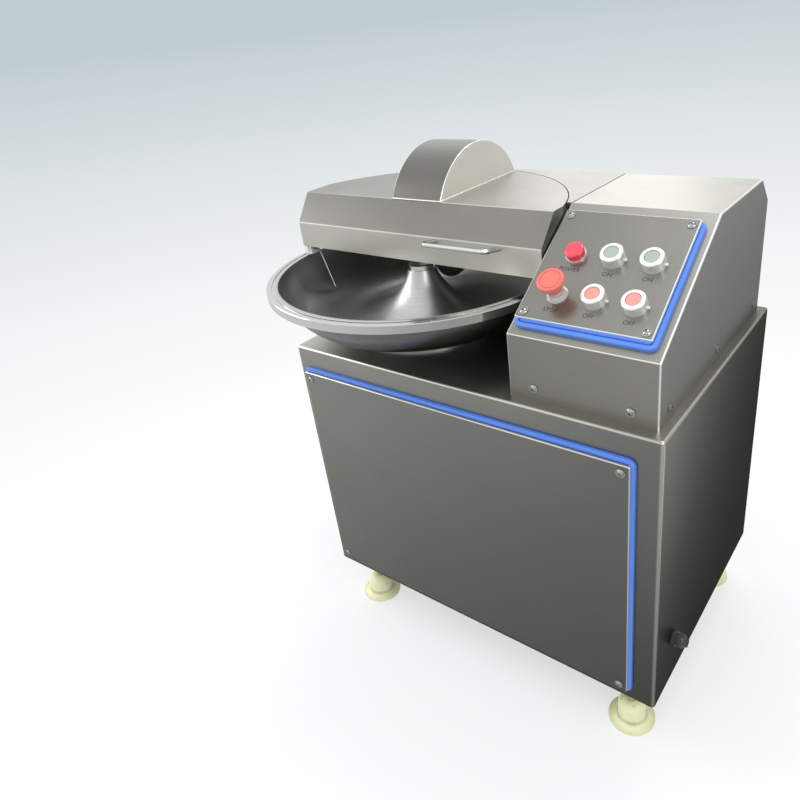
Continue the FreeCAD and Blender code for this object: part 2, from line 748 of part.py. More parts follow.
def make_cabinet():
    shell = cabinet_block(0).cut(cabinet_block(sheet))
    front_hole = box(gasket_left + gasket_wide + 5, gasket_right - gasket_wide - 5, -1, sheet + 1,
                     gasket_bottom + gasket_wide + 5, gasket_top - gasket_wide - 5)
    back_hole = box(rear_margin + 20, cabinet_width - rear_margin - 20, cabinet_depth - sheet - 1,
                    cabinet_depth + 1, rear_low + 20, rear_high - 20)
    belt_slot = box(belt_slot_left, belt_slot_right, belt_slot_front, belt_slot_back, -sheet - 1, 1)
    wire_slot = box(wire_slot_left, wire_slot_right, wire_slot_front, wire_slot_back, -sheet - 1, 1)
    shaft_hole = rod_z(bowl_x, bowl_y, -sheet - 1, 1, bowl_tube_r)
    gland_hole = rod_x(gland_y, gland_z, cabinet_width - sheet - 1, cabinet_width + 1, 10)
    for hole in (front_hole, back_hole, belt_slot, wire_slot, shaft_hole, gland_hole):
        shell = shell.cut(hole)
    for x, z in rear_screw_places():
        shell = shell.cut(rod_y(x, z, cabinet_depth - sheet - 1, cabinet_depth + 1, screw_r + screw_play))
    keep("cabinet_shell", *cabinet_sheets(shell))

    x0, x1 = sheet, cabinet_width - sheet
    y0, y1 = sheet, cabinet_depth - sheet
    floor_z = -cabinet_height
    frame = box(x0, x1, y0, y1, floor_z, floor_z + angle_leg)
    frame = rounded(frame, corner_round - sheet, lambda e: along(e, UP))
    frame = frame.cut(box(x0 + angle_thick, x1 - angle_thick, y0 + angle_thick, y1 - angle_thick,
                          floor_z + angle_thick, floor_z + angle_leg + 1))
    frame = frame.cut(box(x0 + angle_leg, x1 - angle_leg, y0 + angle_leg, y1 - angle_leg, floor_z - 1,
                          floor_z + angle_thick + 1))
    for x, y in foot_places():
        side_x = x0 if x < cabinet_width / 2 else x1 - foot_plate
        side_y = y0 if y < cabinet_depth / 2 else y1 - foot_plate
        corner = box(side_x + 2, side_x + foot_plate - 2, side_y + 2, side_y + foot_plate - 2, floor_z,
                     floor_z + angle_thick)
        boss = rod_z(x, y, floor_z, floor_z + 25, stud_r + 8)
        frame = frame.fuse(corner).fuse(boss)
        frame = frame.cut(rod_z(x, y, floor_z - 1, floor_z + 26, stud_r + run_clearance))
    keep("base_frame", frame.removeSplitter())

    rear = box(rear_margin, cabinet_width - rear_margin, cabinet_depth, cabinet_depth + rear_sheet, rear_low,
               rear_high)
    rear = rounded(rear, 8, lambda e: along(e, BACK))
    vents = []
    for row in range(8):
        for x in (150, cabinet_width - 300):
            z = rear_low + 60 + 22 * row
            vent = box(x, x + 150, cabinet_depth - 1, cabinet_depth + 3, z, z + 6)
            vents.append(rounded(vent, 2.9, lambda e: along(e, BACK)))
    rear = rear.cut(Part.makeCompound(vents))
    for x, z in rear_screw_places():
        rear = rear.cut(rod_y(x, z, cabinet_depth - 1, cabinet_depth + 3, screw_r + screw_play))
    keep("rear_panel", rear)

    case = box(sheet, box_reach, box_front, box_back, box_low, box_high)
    case = case.cut(box(sheet + panel_sheet, box_reach + 1, box_front + panel_sheet, box_back - panel_sheet,
                        box_low + panel_sheet, box_high - panel_sheet))
    cover = box(box_reach, box_reach + 2, box_front - 2, box_back + 2, box_low - 2, box_high + 2)
    keep("electrical_box", case, cover)


def rear_screw_places():
    return [(x, z) for x in (rear_margin + 10, cabinet_width / 2, cabinet_width - rear_margin - 10)
            for z in (rear_low + 10, rear_high - 10)]


def foot_places():
    return [(x, y) for y in (foot_inset_y, cabinet_depth - foot_inset_y)
            for x in (foot_inset_x, cabinet_width - foot_inset_x)]


def make_feet():
    floor = -cabinet_height - foot_height
    names = ("front_left", "front_right", "rear_left", "rear_right")
    for name, (x, y) in zip(names, foot_places()):
        rim_edge = (foot_cup_r, foot_rim - 1)
        hub_edge = (foot_hub_r, foot_rim + 9)
        shoulder = (foot_hub_r, foot_hub_top - 14)
        dome_end = (stud_r + 5, foot_hub_top)
        edges = line_edges([(0, foot_hub_top), (0, 0), (foot_cup_r - 1, 0), (foot_cup_r, 1), rim_edge])
        edges.append(curve(rim_edge, (foot_hub_r + 5, foot_rim + 2), hub_edge))
        edges += line_edges([hub_edge, shoulder])
        edges.append(curve(shoulder, (foot_hub_r - 3, foot_hub_top - 5), dome_end))
        edges += line_edges([dome_end, (0, foot_hub_top)])
        cup = Part.Face(Part.Wire(edges)).revolve(V(0, 0, 0), UP, 360)
        cup = cup.cut(rod_z(0, 0, foot_hub_top - 20, foot_hub_top + 1, stud_r + hub_clearance))
        cup.translate(V(x, y, floor))
        nut_z = -cabinet_height - nut_high
        nut = prism_z([(x + dx, y + dy) for dx, dy in hexagon(nut_flats)], nut_z, nut_z + nut_high)
        nut = nut.cut(rod_z(x, y, nut_z - 1, nut_z + nut_high + 1, stud_r))
        stud = rod_z(x, y, floor + foot_hub_top - 20, -cabinet_height + 24, stud_r)
        keep("foot_" + name, cup, nut, stud)


# Covers with folded edges, gaskets and screws

def tray(x0, x1, y0, y1, fold):
    """Flat cover on the drawing plane: its face is on top and its edges fold down to height zero."""
    outer = rounded(box(x0, x1, y0, y1, 0, fold), 3, lambda e: along(e, UP))
    outer = rounded(outer, fold_round, lambda e: e.BoundBox.ZMin > fold - 0.1)
    inner = rounded(box(x0 + panel_sheet, x1 - panel_sheet, y0 + panel_sheet, y1 - panel_sheet, -1,
                        fold - panel_sheet), 1.5, lambda e: along(e, UP))
    return outer.cut(inner)


def round_box(x0, x1, y0, y1, z0, z1, radius):
    return rounded(box(x0, x1, y0, y1, z0, z1), radius, lambda e: along(e, UP))


def gasket(x0, x1, y0, y1, deep):
    """Frame of a two lobed section, with a groove between the lobes and round outer corners."""
    ring = round_box(x0, x1, y0, y1, 0, deep, gasket_corner)
    out = (gasket_wide - gasket_groove_wide) / 2
    inn = (gasket_wide + gasket_groove_wide) / 2
    groove = round_box(x0 + out, x1 - out, y0 + out, y1 - out, deep - gasket_groove, deep + 1,
                       gasket_corner - out)
    groove = groove.cut(round_box(x0 + inn, x1 - inn, y0 + inn, y1 - inn, 0, deep + 2, gasket_corner - inn))
    ring = ring.cut(groove)
    ring = rounded(ring, gasket_round,
                   lambda e: e.BoundBox.ZMin > deep - 0.1 and outside(e, x0, x1, y0, y1, inn + 1))
    return ring.cut(round_box(x0 + gasket_wide, x1 - gasket_wide, y0 + gasket_wide, y1 - gasket_wide, -1,
                              deep + 1, 1))


def outside(edge, x0, x1, y0, y1, band):
    """Tells whether an edge lies in the outer band of a rectangle."""
    middle = edge.valueAt((edge.FirstParameter + edge.LastParameter) / 2)
    near = min(middle.x - x0, x1 - middle.x, middle.y - y0, y1 - middle.y)
    return near < band


def to_front(shape):
    """Stands a flat drawing up on the cabinet's front, with its height towards the viewer."""
    placed = shape.copy()
    placed.rotate(V(0, 0, 0), RIGHT, 90)
    return placed


def screw(grip):
    """Dome headed screw with a collar and a hexagon socket, standing on height zero."""
    ball_r = screw_head_r * 1.3
    head = Part.makeSphere(ball_r, V(0, 0, screw_head - ball_r))
    head = head.common(rod_z(0, 0, 0, screw_head, screw_head_r))
    head = head.fuse(rod_z(0, 0, 0, screw_collar, screw_collar_r))
    head = head.fuse(rod_z(0, 0, -grip, screw_collar, screw_r)).removeSplitter()
    return head.cut(prism_z(hexagon(screw_socket), screw_head - 2, screw_head + 1))


def moved(shape, x, y, z):
    placed = shape.copy()
    placed.translate(V(x, y, z))
    return placed


def corners(x0, x1, y0, y1, inset):
    return [(x, y) for x in (x0 + inset, x1 - inset) for y in (y0 + inset, y1 - inset)]


def make_front_covers():
    front_screws = corners(panel_left, panel_right, panel_bottom, panel_top, panel_screw_inset)
    plate_screws = corners(plate_left, plate_right, plate_low, plate_high, plate_screw_inset)
    panel = moved(tray(panel_left, panel_right, panel_bottom, panel_top, panel_fold), 0, 0, gasket_deep)
    seal = gasket(gasket_left, gasket_right, gasket_bottom, gasket_top, gasket_deep)
    for x, y in front_screws:
        hole = rod_z(x, y, -1, gasket_deep + panel_fold + 1, screw_r + screw_play)
        panel = panel.cut(hole)
        seal = seal.cut(hole)
    keep("front_panel", to_front(panel))
    keep("front_panel_gasket", to_front(seal))

    plate = moved(tray(plate_left, plate_right, plate_low, plate_high, plate_fold), 0, 0, seal_deep)
    plate_seal = gasket(seal_left, seal_right, seal_low, seal_high, seal_deep)
    for x, s in plate_screws:
        hole = rod_z(x, s, -1, seal_deep + plate_fold + 1, screw_r + screw_play)
        plate = plate.cut(hole)
        plate_seal = plate_seal.cut(hole)
    for x, s in device_places():
        plate = plate.cut(rod_z(x, s, -1, seal_deep + plate_fold + 1, device_bore))
    keep("control_plate", on_slope(plate))
    keep("control_plate_gasket", on_slope(plate_seal))

    screws = []
    panel_face = gasket_deep + panel_fold
    for x, y in front_screws:
        screws.append(to_front(moved(screw(panel_face), x, y, panel_face)))
    plate_face = seal_deep + plate_fold
    for x, s in plate_screws:
        screws.append(on_slope(moved(screw(plate_face), x, s, plate_face)))
    for x in housing_front_screws:
        screws.append(moved(to_front(screw(sheet)), x, control_front, housing_screw_z))
    for y in housing_side_screws:
        side = screw(sheet)
        side.rotate(V(0, 0, 0), BACK, 90)
        screws.append(moved(side, control_right, y, housing_screw_z))
    for x, z in rear_screw_places():
        back = screw(rear_sheet + sheet)
        back.rotate(V(0, 0, 0), RIGHT, -90)
        screws.append(moved(back, x, cabinet_depth + rear_sheet, z))
    keep("cover_screws", *screws)


# Switches on the control plate

def device_places():
    return [(column_x + column_pitch * i, row_low + row_pitch * j) for j in (0, 1) for i in (0, 1, 2)]


def make_devices():
    face = seal_deep + plate_fold
    places = device_places()
    estop_place, lamp_place = places[0], places[3]
    button_places = {"stop_knife_button": places[1], "stop_bowl_button": places[2],
                     "start_knife_button": places[4], "start_bowl_button": places[5]}
    bezels, contacts = [], []
    for x, s in list(button_places.values()):
        ring = rounded(rod_z(x, s, face, face + bezel_high, bezel_r), bezel_round,
                       lambda e: e.BoundBox.ZMin > face + bezel_high - 0.1)
        tab_start = x + bezel_r - 1
        ring = ring.fuse(box(tab_start, x + bezel_r + bezel_tab, s - 2, s + 2, face, face + bezel_base))
        ring = ring.fuse(rod_z(x, s, face - 12, face, device_bore - 0.1))
        ring = ring.cut(rod_z(x, s, face + bezel_base - 1, face + bezel_high + 1, button_r + button_play))
        ring = ring.cut(rod_z(x, s, face - 13, face + bezel_base, button_stem_r + button_play))
        bezels.append(ring.removeSplitter())
    x, s = lamp_place
    lamp = rod_z(x, s, face, face + 3, lamp_r + 1)
    lamp = lamp.fuse(rod_z(x, s, face - 12, face, device_bore - 0.1)).removeSplitter()
    bezels.append(lamp)
    keep("device_bezels", *[on_slope(shape) for shape in bezels])

    for name, (x, s) in button_places.items():
        cap_top = face + bezel_high - 0.5
        cap_low = face + bezel_base + button_travel + 1
        cap = rounded(rod_z(x, s, cap_low, cap_top, button_r), 1,
                      lambda e: e.BoundBox.ZMin > cap_top - 0.1)
        cap = cap.fuse(rod_z(x, s, face - 10, cap_low, button_stem_r)).removeSplitter()
        keep(name, on_slope(cap))

    x, s = lamp_place
    lens = rod_z(x, s, face + 3, face + 3 + lamp_high, lamp_r)
    lens = rounded(lens, 3, lambda e: e.CenterOfMass.z > face + 2.9 + lamp_high)
    keep("pilot_lamp_lens", on_slope(lens))

    x, s = estop_place
    collar_top = face + estop_collar_high
    collar = Part.makeCone(estop_collar_r + 1, estop_collar_r - 2, estop_collar_high, V(x, s, face), UP)
    collar = collar.fuse(rod_z(x, s, face - 12, face, device_bore - 0.1)).removeSplitter()
    collar = collar.cut(rod_z(x, s, face - 13, collar_top + 1, 7.3))
    keep("estop_collar", on_slope(collar))
    head_low = collar_top + estop_travel + 1
    stem = rod_z(x, s, face - 10, head_low + 6, 7)
    keep("estop_stem", on_slope(stem))
    brim = estop_head_high - 5
    crown = estop_head_r * 0.72
    waist = (estop_head_r - 7, 1)
    edges = line_edges([(7.3, 6 + rest_gap), (7.3, 0), (waist[0], 0), waist])
    edges.append(curve(waist, (estop_head_r - 4, brim * 0.55), (estop_head_r, brim)))
    edges += line_edges([(estop_head_r, brim), (estop_head_r, estop_head_high - 2)])
    edges.append(curve((estop_head_r, estop_head_high - 2), (estop_head_r - 0.6, estop_head_high - 0.6),
                       (estop_head_r - 2, estop_head_high)))
    edges += line_edges([(estop_head_r - 2, estop_head_high), (crown + 1, estop_head_high),
                         (crown + 1, estop_head_high - 0.8), (crown, estop_head_high - 0.8),
                         (crown, estop_head_high), (0, estop_head_high), (0, 6 + rest_gap),
                         (7.3, 6 + rest_gap)])
    head = Part.Face(Part.Wire(edges)).revolve(V(0, 0, 0), UP, 360)
    keep("estop_head", on_slope(moved(head, x, s, head_low)))

    half = contact_side / 2
    contact_top = face - 12 - button_travel - 0.3
    for x, s in places:
        block = box(x - half, x + half, s - half, s + half, contact_top - contact_deep, contact_top)
        skirt = ring_z(x, s, contact_top, face - panel_sheet, device_bore + 3, device_bore)
        contacts.append(on_slope(block.fuse(skirt).removeSplitter()))
    keep("contact_blocks", *contacts)


# Housings above the deck

def housing_outline(inset):
    """Side outline shared by both housings above the deck, drawn in by a wall."""
    tan_slope = (housing_height - nose_height) / (slope_back - control_front)
    rise = inset * math.sqrt(1 + tan_slope ** 2)
    chamfer = (housing_height - chamfer_low) / (back_face - top_back)
    drop = inset * math.sqrt(1 + chamfer ** 2)
    front = control_front + inset
    top = housing_height - inset
    back = back_face - inset
    return [(front, -1 if inset else 0),
            (front, nose_height + inset * tan_slope - rise),
            (slope_back + (rise - inset) / tan_slope, top),
            (top_back + (inset - drop) / chamfer, top),
            (back, chamfer_low + chamfer * inset - drop),
            (back, -1 if inset else 0)]


def make_control_housing():
    outer = rounded(prism_x(housing_outline(0), control_left, control_right), housing_round,
                    lambda e: e.BoundBox.ZMax > 1)
    inner = prism_x(housing_outline(sheet), control_left + sheet, control_right - sheet)
    shell = outer.cut(inner)
    window = box(seal_left + gasket_wide + 4, seal_right - gasket_wide - 4, seal_low + gasket_wide + 4,
                 seal_high - gasket_wide - 4, -sheet - 1, 1)
    shell = shell.cut(on_slope(window))
    shell = shell.cut(rod_x(spindle_y, spindle_z, control_left - 1, control_left + sheet + 1, nose_r + 2))
    for x in housing_front_screws:
        shell = shell.cut(rod_y(x, housing_screw_z, control_front - 1, control_front + sheet + 1,
                                screw_r + screw_play))
    for y in housing_side_screws:
        shell = shell.cut(rod_x(y, housing_screw_z, control_right - sheet - 1, control_right + 1,
                                screw_r + screw_play))
    keep("control_housing", shell)


def make_rear_housing():
    bowl_room = rim_radius + splash_gap
    nest = lid_round + lip_gap
    top_edge = housing_outline(0)[3:]
    under_edge = housing_outline(sheet)[3:]
    front = slope_back + rest_gap
    outer = prism_x([(front, 0), (front, housing_height)] + top_edge, rear_left, rear_right)
    outer = rounded(outer, housing_round, lambda e: e.BoundBox.ZMax > 1 and e.BoundBox.YMax > front + 1
                    and e.CenterOfMass.x < rear_right - 1)
    inner_outline = [(front - 1, -1), (front - 1, housing_height - sheet)] + under_edge
    hollow = prism_x(inner_outline, rear_left + sheet, rear_right + 1)
    hollow = hollow.cut(rod_z(bowl_x, bowl_y, -2, housing_height, bowl_room + sheet))
    bowl_space = prism_x(inner_outline, rear_left - 1, rear_right + 1)
    bowl_space = bowl_space.common(rod_z(bowl_x, bowl_y, -2, housing_height, bowl_room))
    shell = outer.cut(hollow).cut(bowl_space).cut(rod_z(bowl_x, lid_centre_y, -1, housing_height + 1, nest))
    lip = ring_z(bowl_x, lid_centre_y, housing_height - lip_depth, housing_height, nest + sheet, nest)
    shell = shell.fuse(lip.common(outer))
    shell = shell.cut(rod_x(spindle_y, spindle_z, bowl_x, rear_right + 1, nose_r + 2))
    solids = sorted(shell.removeSplitter().Solids, key=lambda solid: -solid.Volume)
    keep("rear_housing", solids[0])


# Lid, its dome, handle, scraper and hinge

def lid_body(inset, top_extra):
    """Lid block drawn in by a wall: a round backed plan under a two facet front."""
    top = housing_height - inset
    low = lid_bottom - top_extra
    far = cabinet_depth
    profile = [(lid_front + inset, low), (lid_front + inset, lid_crease - inset * 0.4),
               (lid_top_front + inset * 0.4, top), (far, top), (far, low)]
    block = prism_x(profile, lid_left - 20, lid_right + 20)
    block = rounded(block, lid_bend - inset, lambda e: along(e, RIGHT) and e.CenterOfMass.z > low + 1
                    and e.CenterOfMass.y < far - 1)
    plan = [(lid_left_front + inset, lid_front - 1), (lid_left + inset, lid_top_front),
            (lid_left + inset, far), (lid_right - inset, far), (lid_right - inset, lid_front - 1)]
    block = block.common(prism_z(plan, low - 1, top + 1))
    return block.common(rod_z(bowl_x, lid_centre_y, low - 1, top + 1, lid_round - inset))


def dome_block(inset):
    """Round topped guard over the knives, drawn in by a wall."""
    disc = rod_x(dome_centre_y, dome_centre_z, dome_left + inset, dome_right - inset, dome_radius - inset)
    if not inset:
        disc = disc.makeFillet(dome_edge, [e for e in disc.Edges if e.Closed])
    low = housing_height - inset
    return disc.common(box(dome_left, dome_right, dome_front - 1, dome_back + 1, low, low + dome_radius))


def make_lid():
    shell = lid_body(0, 0).cut(lid_body(sheet, 1))
    short = box(rear_left - 2, lid_right + 5, lid_step_y, cabinet_depth, lid_bottom - 1,
                housing_height - lid_skirt)
    shell = shell.cut(short)
    slot = box(dome_left + sheet, dome_right - sheet, slot_front, slot_back, housing_height - sheet - 1,
               housing_height + 1)
    shell = shell.cut(slot)
    keep("lid_shell", shell)
    keep("knife_dome", dome_block(0).cut(dome_block(sheet)))

    end_x = handle_left + handle_span
    bar_y = lid_front - handle_reach
    root_y = lid_front + handle_rod
    corner = handle_bend * (1 - math.sqrt(0.5))
    path = Part.Wire([
        Part.LineSegment(V(handle_left, root_y, 0), V(handle_left, bar_y + handle_bend, 0)).toShape(),
        Part.Arc(V(handle_left, bar_y + handle_bend, 0), V(handle_left + corner, bar_y + corner, 0),
                 V(handle_left + handle_bend, bar_y, 0)).toShape(),
        Part.LineSegment(V(handle_left + handle_bend, bar_y, 0), V(end_x - handle_bend, bar_y, 0)).toShape(),
        Part.Arc(V(end_x - handle_bend, bar_y, 0), V(end_x - corner, bar_y + corner, 0),
                 V(end_x, bar_y + handle_bend, 0)).toShape(),
        Part.LineSegment(V(end_x, bar_y + handle_bend, 0), V(end_x, root_y, 0)).toShape()])
    circle = Part.Wire(Part.makeCircle(handle_rod, V(handle_left, root_y, 0), BACK))
    bar = path.makePipeShell([circle], True, False)
    bar.rotate(V(0, lid_front, 0), RIGHT, -math.degrees(math.atan2(handle_rise, handle_reach)))
    bar.translate(V(0, 0, handle_height))
    keep("lid_handle", bar.cut(box(handle_left - 9, end_x + 9, lid_front, lid_front + 9, 0, housing_height)))

    # Nylon block that rides just above the bowl's rim, with a tongue up inside the lid
    block_end = scraper_x + scraper_width
    block = box(scraper_x, block_end, scraper_front, scraper_front + scraper_depth, rim_top + rest_gap,
                lid_bottom)
    inner_front = lid_left_front + sheet
    inner_back = lid_left + sheet
    slant = (inner_back - inner_front) / (lid_top_front - lid_front + 1)
    tongue_ends = [(inner_front + slant * (y - lid_front + 1), y)
                   for y in (lid_front + sheet, scraper_front + scraper_depth)]
    tongue_plan = [(block_end, lid_front + sheet), (block_end, scraper_front + scraper_depth),
                   tongue_ends[1], tongue_ends[0]]
    block = block.fuse(prism_z(tongue_plan, lid_bottom - 4, lid_bottom + 25)).removeSplitter()
    rod_z0 = (rim_top + lid_bottom) / 2
    rod_y0 = scraper_front + scraper_depth / 2
    block = block.cut(rod_x(rod_y0, rod_z0, block_end - 14, block_end + 1, rod_r + hub_clearance))
    bolt_x = scraper_x + scraper_width / 2
    block = block.cut(rod_y(bolt_x, rod_z0, scraper_front - 1, scraper_front + 6, 2 + hub_clearance))
    head = prism_z(hexagon(bolt_flats), 0, 3).fuse(rod_z(0, 0, -6, 0, 2)).removeSplitter()
    bolt = moved(to_front(head), bolt_x, scraper_front, rod_z0)
    keep("rim_scraper", block, bolt)
    points = [V(block_end - 14, rod_y0, rod_z0), V(block_end + 14, rod_y0, rod_z0),
              V(block_end + 26, rod_y0, rod_z0 - 34), V(block_end + 40, rod_y0, rod_z0 - 76)]
    keep("scraper_rod", bent_rod(points, rod_r))
    make_hinge()


def bent_rod(points, radius):
    """Round rod along straight runs joined by small round bends."""
    edges = []
    start = points[0]
    for before, corner, after in zip(points, points[1:], points[2:]):
        to_before = (before - corner).normalize()
        to_after = (after - corner).normalize()
        turn = math.pi - to_before.getAngle(to_after)
        cut = min(rod_bend * math.tan(turn / 2), 8)
        first = corner + to_before * cut
        last = corner + to_after * cut
        bend_r = cut / math.tan(turn / 2)
        centre = corner + (to_before + to_after).normalize() * (bend_r / math.cos(turn / 2))
        middle = centre + (corner - centre).normalize() * bend_r
        edges.append(Part.LineSegment(start, first).toShape())
        edges.append(Part.Arc(first, middle, last).toShape())
        start = last
    edges.append(Part.LineSegment(start, points[-1]).toShape())
    path = Part.Wire(edges)
    direction = (points[1] - points[0]).normalize()
    circle = Part.Wire(Part.makeCircle(radius, points[0], direction))
    return path.makePipeShell([circle], True, False)


def make_hinge():
    first = (hinge_left + 30, hinge_left + 60)
    second = (hinge_left + 80, hinge_left + 104)
    third = hinge_left + 130
    fixed = (first, (second[1], third))
    arms = ((hinge_left, first[0] - hinge_gap), (first[1] + hinge_gap, second[0]))
    lug = (third + hinge_gap, hinge_right)
    bore = rod_x(hinge_y, hinge_z, hinge_left - 1, hinge_right + 1, hinge_pin_r + pin_clearance)
    fall = V(0, back_face - top_back, chamfer_low - housing_height).normalize()
    lift = V(0, -fall.z, fall.y)
    edge = V(0, top_back, housing_height)
    base = None
    leaf_start, leaf_end, leaf_thick = 10.0, 42.0, 3.0
    outline = [edge + fall * leaf_start, edge + fall * leaf_end, edge + fall * leaf_end + lift * leaf_thick,
               edge + fall * leaf_start + lift * leaf_thick]
    leaf = prism_x([(p.y, p.z) for p in outline], hinge_left, hinge_right)
    for x0, x1 in fixed:
        knuckle = rod_x(hinge_y, hinge_z, x0, x1, knuckle_r)
        web_outline = [(hinge_y - knuckle_r * 0.6, hinge_z - knuckle_r * 0.8),
                       (edge.y + fall.y * leaf_start, edge.z + fall.z * leaf_start + 1),
                       (edge.y + fall.y * (leaf_start + 12), edge.z + fall.z * (leaf_start + 12) + 1),
                       (hinge_y + knuckle_r * 0.9, hinge_z)]
        knuckle = knuckle.fuse(prism_x(web_outline, x0, x1))
        base = knuckle if base is None else base.fuse(knuckle)
    base = base.fuse(leaf).removeSplitter().cut(bore)
    under = [(edge.y - fall.y * 40, edge.z - fall.z * 40), (edge.y + fall.y * 80, edge.z + fall.z * 80),
             (edge.y - 60, edge.z - 120)]
    below = prism_x(under, hinge_left - 5, hinge_right + 5)
    keep("lid_hinge_base", base.cut(below))
    keep("lid_hinge_pin", rod_x(hinge_y, hinge_z, hinge_left - 2, hinge_right + 2, hinge_pin_r))

    arm_low = housing_height
    arm_high = arm_low + 4
    pieces = []
    for x0, x1 in arms:
        arm = box(x0, x1, arm_front, hinge_y, arm_low, arm_high)
        arm = arm.fuse(rod_x(hinge_y, hinge_z, x0, x1, knuckle_r))
        pieces.append(arm.removeSplitter().cut(bore))
    tab = box(lug[0], lug[1], dome_back, hinge_y, arm_low, hinge_z + 2)
    tab = tab.fuse(rod_x(hinge_y, hinge_z, lug[0], lug[1], knuckle_r)).removeSplitter()
    pieces.append(tab.cut(bore))
    keep("lid_hinge_arms", *pieces)
    switch_low = housing_height - 86.5
    switch_left = control_left + sheet
    keep("lid_switch", box(switch_left, switch_left + 18, slope_back - 31.5, slope_back + 0.5, switch_low,
                           switch_low + 35))


def make_gland():
    end = cabinet_width + gland_length
    base_plan = [(gland_y + dy, gland_z + dz) for dy, dz in hexagon(gland_flats)]
    nut_plan = [(gland_y + dy, gland_z + dz) for dy, dz in hexagon(gland_nut_flats)]
    gland = prism_x(base_plan, cabinet_width, cabinet_width + 6)
    neck_r = gland_nut_flats / 2 - 1.5
    gland = gland.fuse(rod_x(gland_y, gland_z, cabinet_width + 6, cabinet_width + 9, neck_r))
    dome = Part.makeSphere(gland_nut_flats / 2 + 2, V(end - 14, gland_y, gland_z))
    nut = prism_x(nut_plan, cabinet_width + 9, end - 2).common(
        dome.fuse(rod_x(gland_y, gland_z, cabinet_width, end - 14, gland_nut_flats)))
    gland = gland.fuse(nut).fuse(rod_x(gland_y, gland_z, end - 6, end, cable_r + 2))
    gland = gland.fuse(rod_x(gland_y, gland_z, cabinet_width - 10, cabinet_width, 9.8))
    gland = gland.removeSplitter().cut(rod_x(gland_y, gland_z, cabinet_width - 11, end + 1, cable_r))
    keep("cable_gland", gland)


def main():
    make_bowl()
    make_bowl_drive()
    make_knives()
    make_spindle()
    make_motor()
    make_cabinet()
    make_feet()
    make_front_covers()
    make_devices()
    make_control_housing()
    make_rear_housing()
    make_lid()
    make_gland()

    left = min(bowl_x - rim_radius, lid_left)
    right = cabinet_width + gland_length
    front = bowl_y - rim_radius
    back = cabinet_depth + rear_sheet + screw_head
    shift = V(-(left + right) / 2, -(front + back) / 2, cabinet_height + foot_height)
    os.makedirs("parts", exist_ok=True)
    for name, shape in parts.items():
        shape.translate(shift)
        shape.exportStep("parts/" + name + ".step")
    print("origin shift", shift, "pieces", len(parts))


main()
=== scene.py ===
"""Finishes and trim of a bowl cutter: satin steel sheets with painted light and shade, a turned bowl with
painted shade and a painted highlight, blue seals and its switches.
"""

import math

import bmesh
import bpy
from bpy.props import FloatProperty, FloatVectorProperty, PointerProperty
from mathutils import Matrix, Vector


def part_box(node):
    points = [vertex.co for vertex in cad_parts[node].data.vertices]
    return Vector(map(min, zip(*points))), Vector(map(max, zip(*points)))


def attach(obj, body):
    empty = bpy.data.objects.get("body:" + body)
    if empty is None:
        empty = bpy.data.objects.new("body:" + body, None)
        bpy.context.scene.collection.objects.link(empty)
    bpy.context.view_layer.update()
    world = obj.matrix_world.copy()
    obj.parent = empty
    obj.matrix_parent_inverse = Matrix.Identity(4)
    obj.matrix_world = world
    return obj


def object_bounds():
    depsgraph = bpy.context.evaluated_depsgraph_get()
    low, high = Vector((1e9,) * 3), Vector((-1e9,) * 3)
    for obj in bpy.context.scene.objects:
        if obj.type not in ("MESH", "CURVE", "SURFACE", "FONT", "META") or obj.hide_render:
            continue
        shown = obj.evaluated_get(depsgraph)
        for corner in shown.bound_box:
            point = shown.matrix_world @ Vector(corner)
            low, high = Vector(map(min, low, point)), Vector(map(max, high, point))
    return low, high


bl_info = {
    "name": "Bowl Cutter Finishes",
    "version": (1, 0, 0),
    "blender": (4, 5, 0),
    "location": "3D View > Sidebar > Bowl Cutter",
    "description": "Gives a bowl cutter its steel, plastic and rubber finishes, weld beads and switch marks",
    "category": "Object",
}

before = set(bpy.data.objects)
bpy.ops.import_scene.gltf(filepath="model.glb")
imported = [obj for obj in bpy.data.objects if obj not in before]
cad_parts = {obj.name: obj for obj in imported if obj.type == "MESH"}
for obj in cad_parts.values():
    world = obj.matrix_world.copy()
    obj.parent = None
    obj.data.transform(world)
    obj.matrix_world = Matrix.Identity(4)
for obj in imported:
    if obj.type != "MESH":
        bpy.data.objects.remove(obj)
cad_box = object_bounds()

CENTRE_AXIS = (cad_box[0] + cad_box[1]) / 2
BOWL_LOW, BOWL_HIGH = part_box("bowl")
BOWL_AXIS = (BOWL_LOW + BOWL_HIGH) / 2
SLOPE_ANGLE = math.radians(33.149)
UP_SLOPE = Vector((0, math.cos(SLOPE_ANGLE), math.sin(SLOPE_ANGLE)))
OFF_SLOPE = Vector((0, -math.sin(SLOPE_ANGLE), math.cos(SLOPE_ANGLE)))
FACET_WAY = Vector((0, -0.748, 0.663))

# How sharply a surface takes the painted light and shade set for the way that it faces
FACE_SHARPNESS = 10.0
SLOPE_SHARPNESS = 24.0
SIDE_STARTS = 0.9

# Share of the normal along X where an edge of the guard takes a painted highlight along its seam
SEAM_STARTS = 0.25
SEAM_ENDS = 0.97

# Brushed grain: sizes of its noises and how much they change tone and roughness
FINE_GRAIN = 1400.0
COARSE_GRAIN = 12.0
GRAIN_UP = (COARSE_GRAIN, COARSE_GRAIN, FINE_GRAIN)
GRAIN_ACROSS = (FINE_GRAIN, COARSE_GRAIN, COARSE_GRAIN)
GRAIN_ALONG = (COARSE_GRAIN, FINE_GRAIN, FINE_GRAIN)
CLOUD_SCALE = 4.0
SMEAR_SCALE = 22.0
SMEAR_FLOOR = 0.52
SMEAR_GAIN = 3.0
GRAIN_TONE = 0.16
GRAIN_ROUGHNESS = 0.12

# Rings on the bowl: how they run down the wall and how dark they are; and where the painted shade on the
# underside begins
RING_FALL = 0.6
RING_TONE = 0.3
UNDER_ENDS = -0.25
OVER_STARTS = -0.02

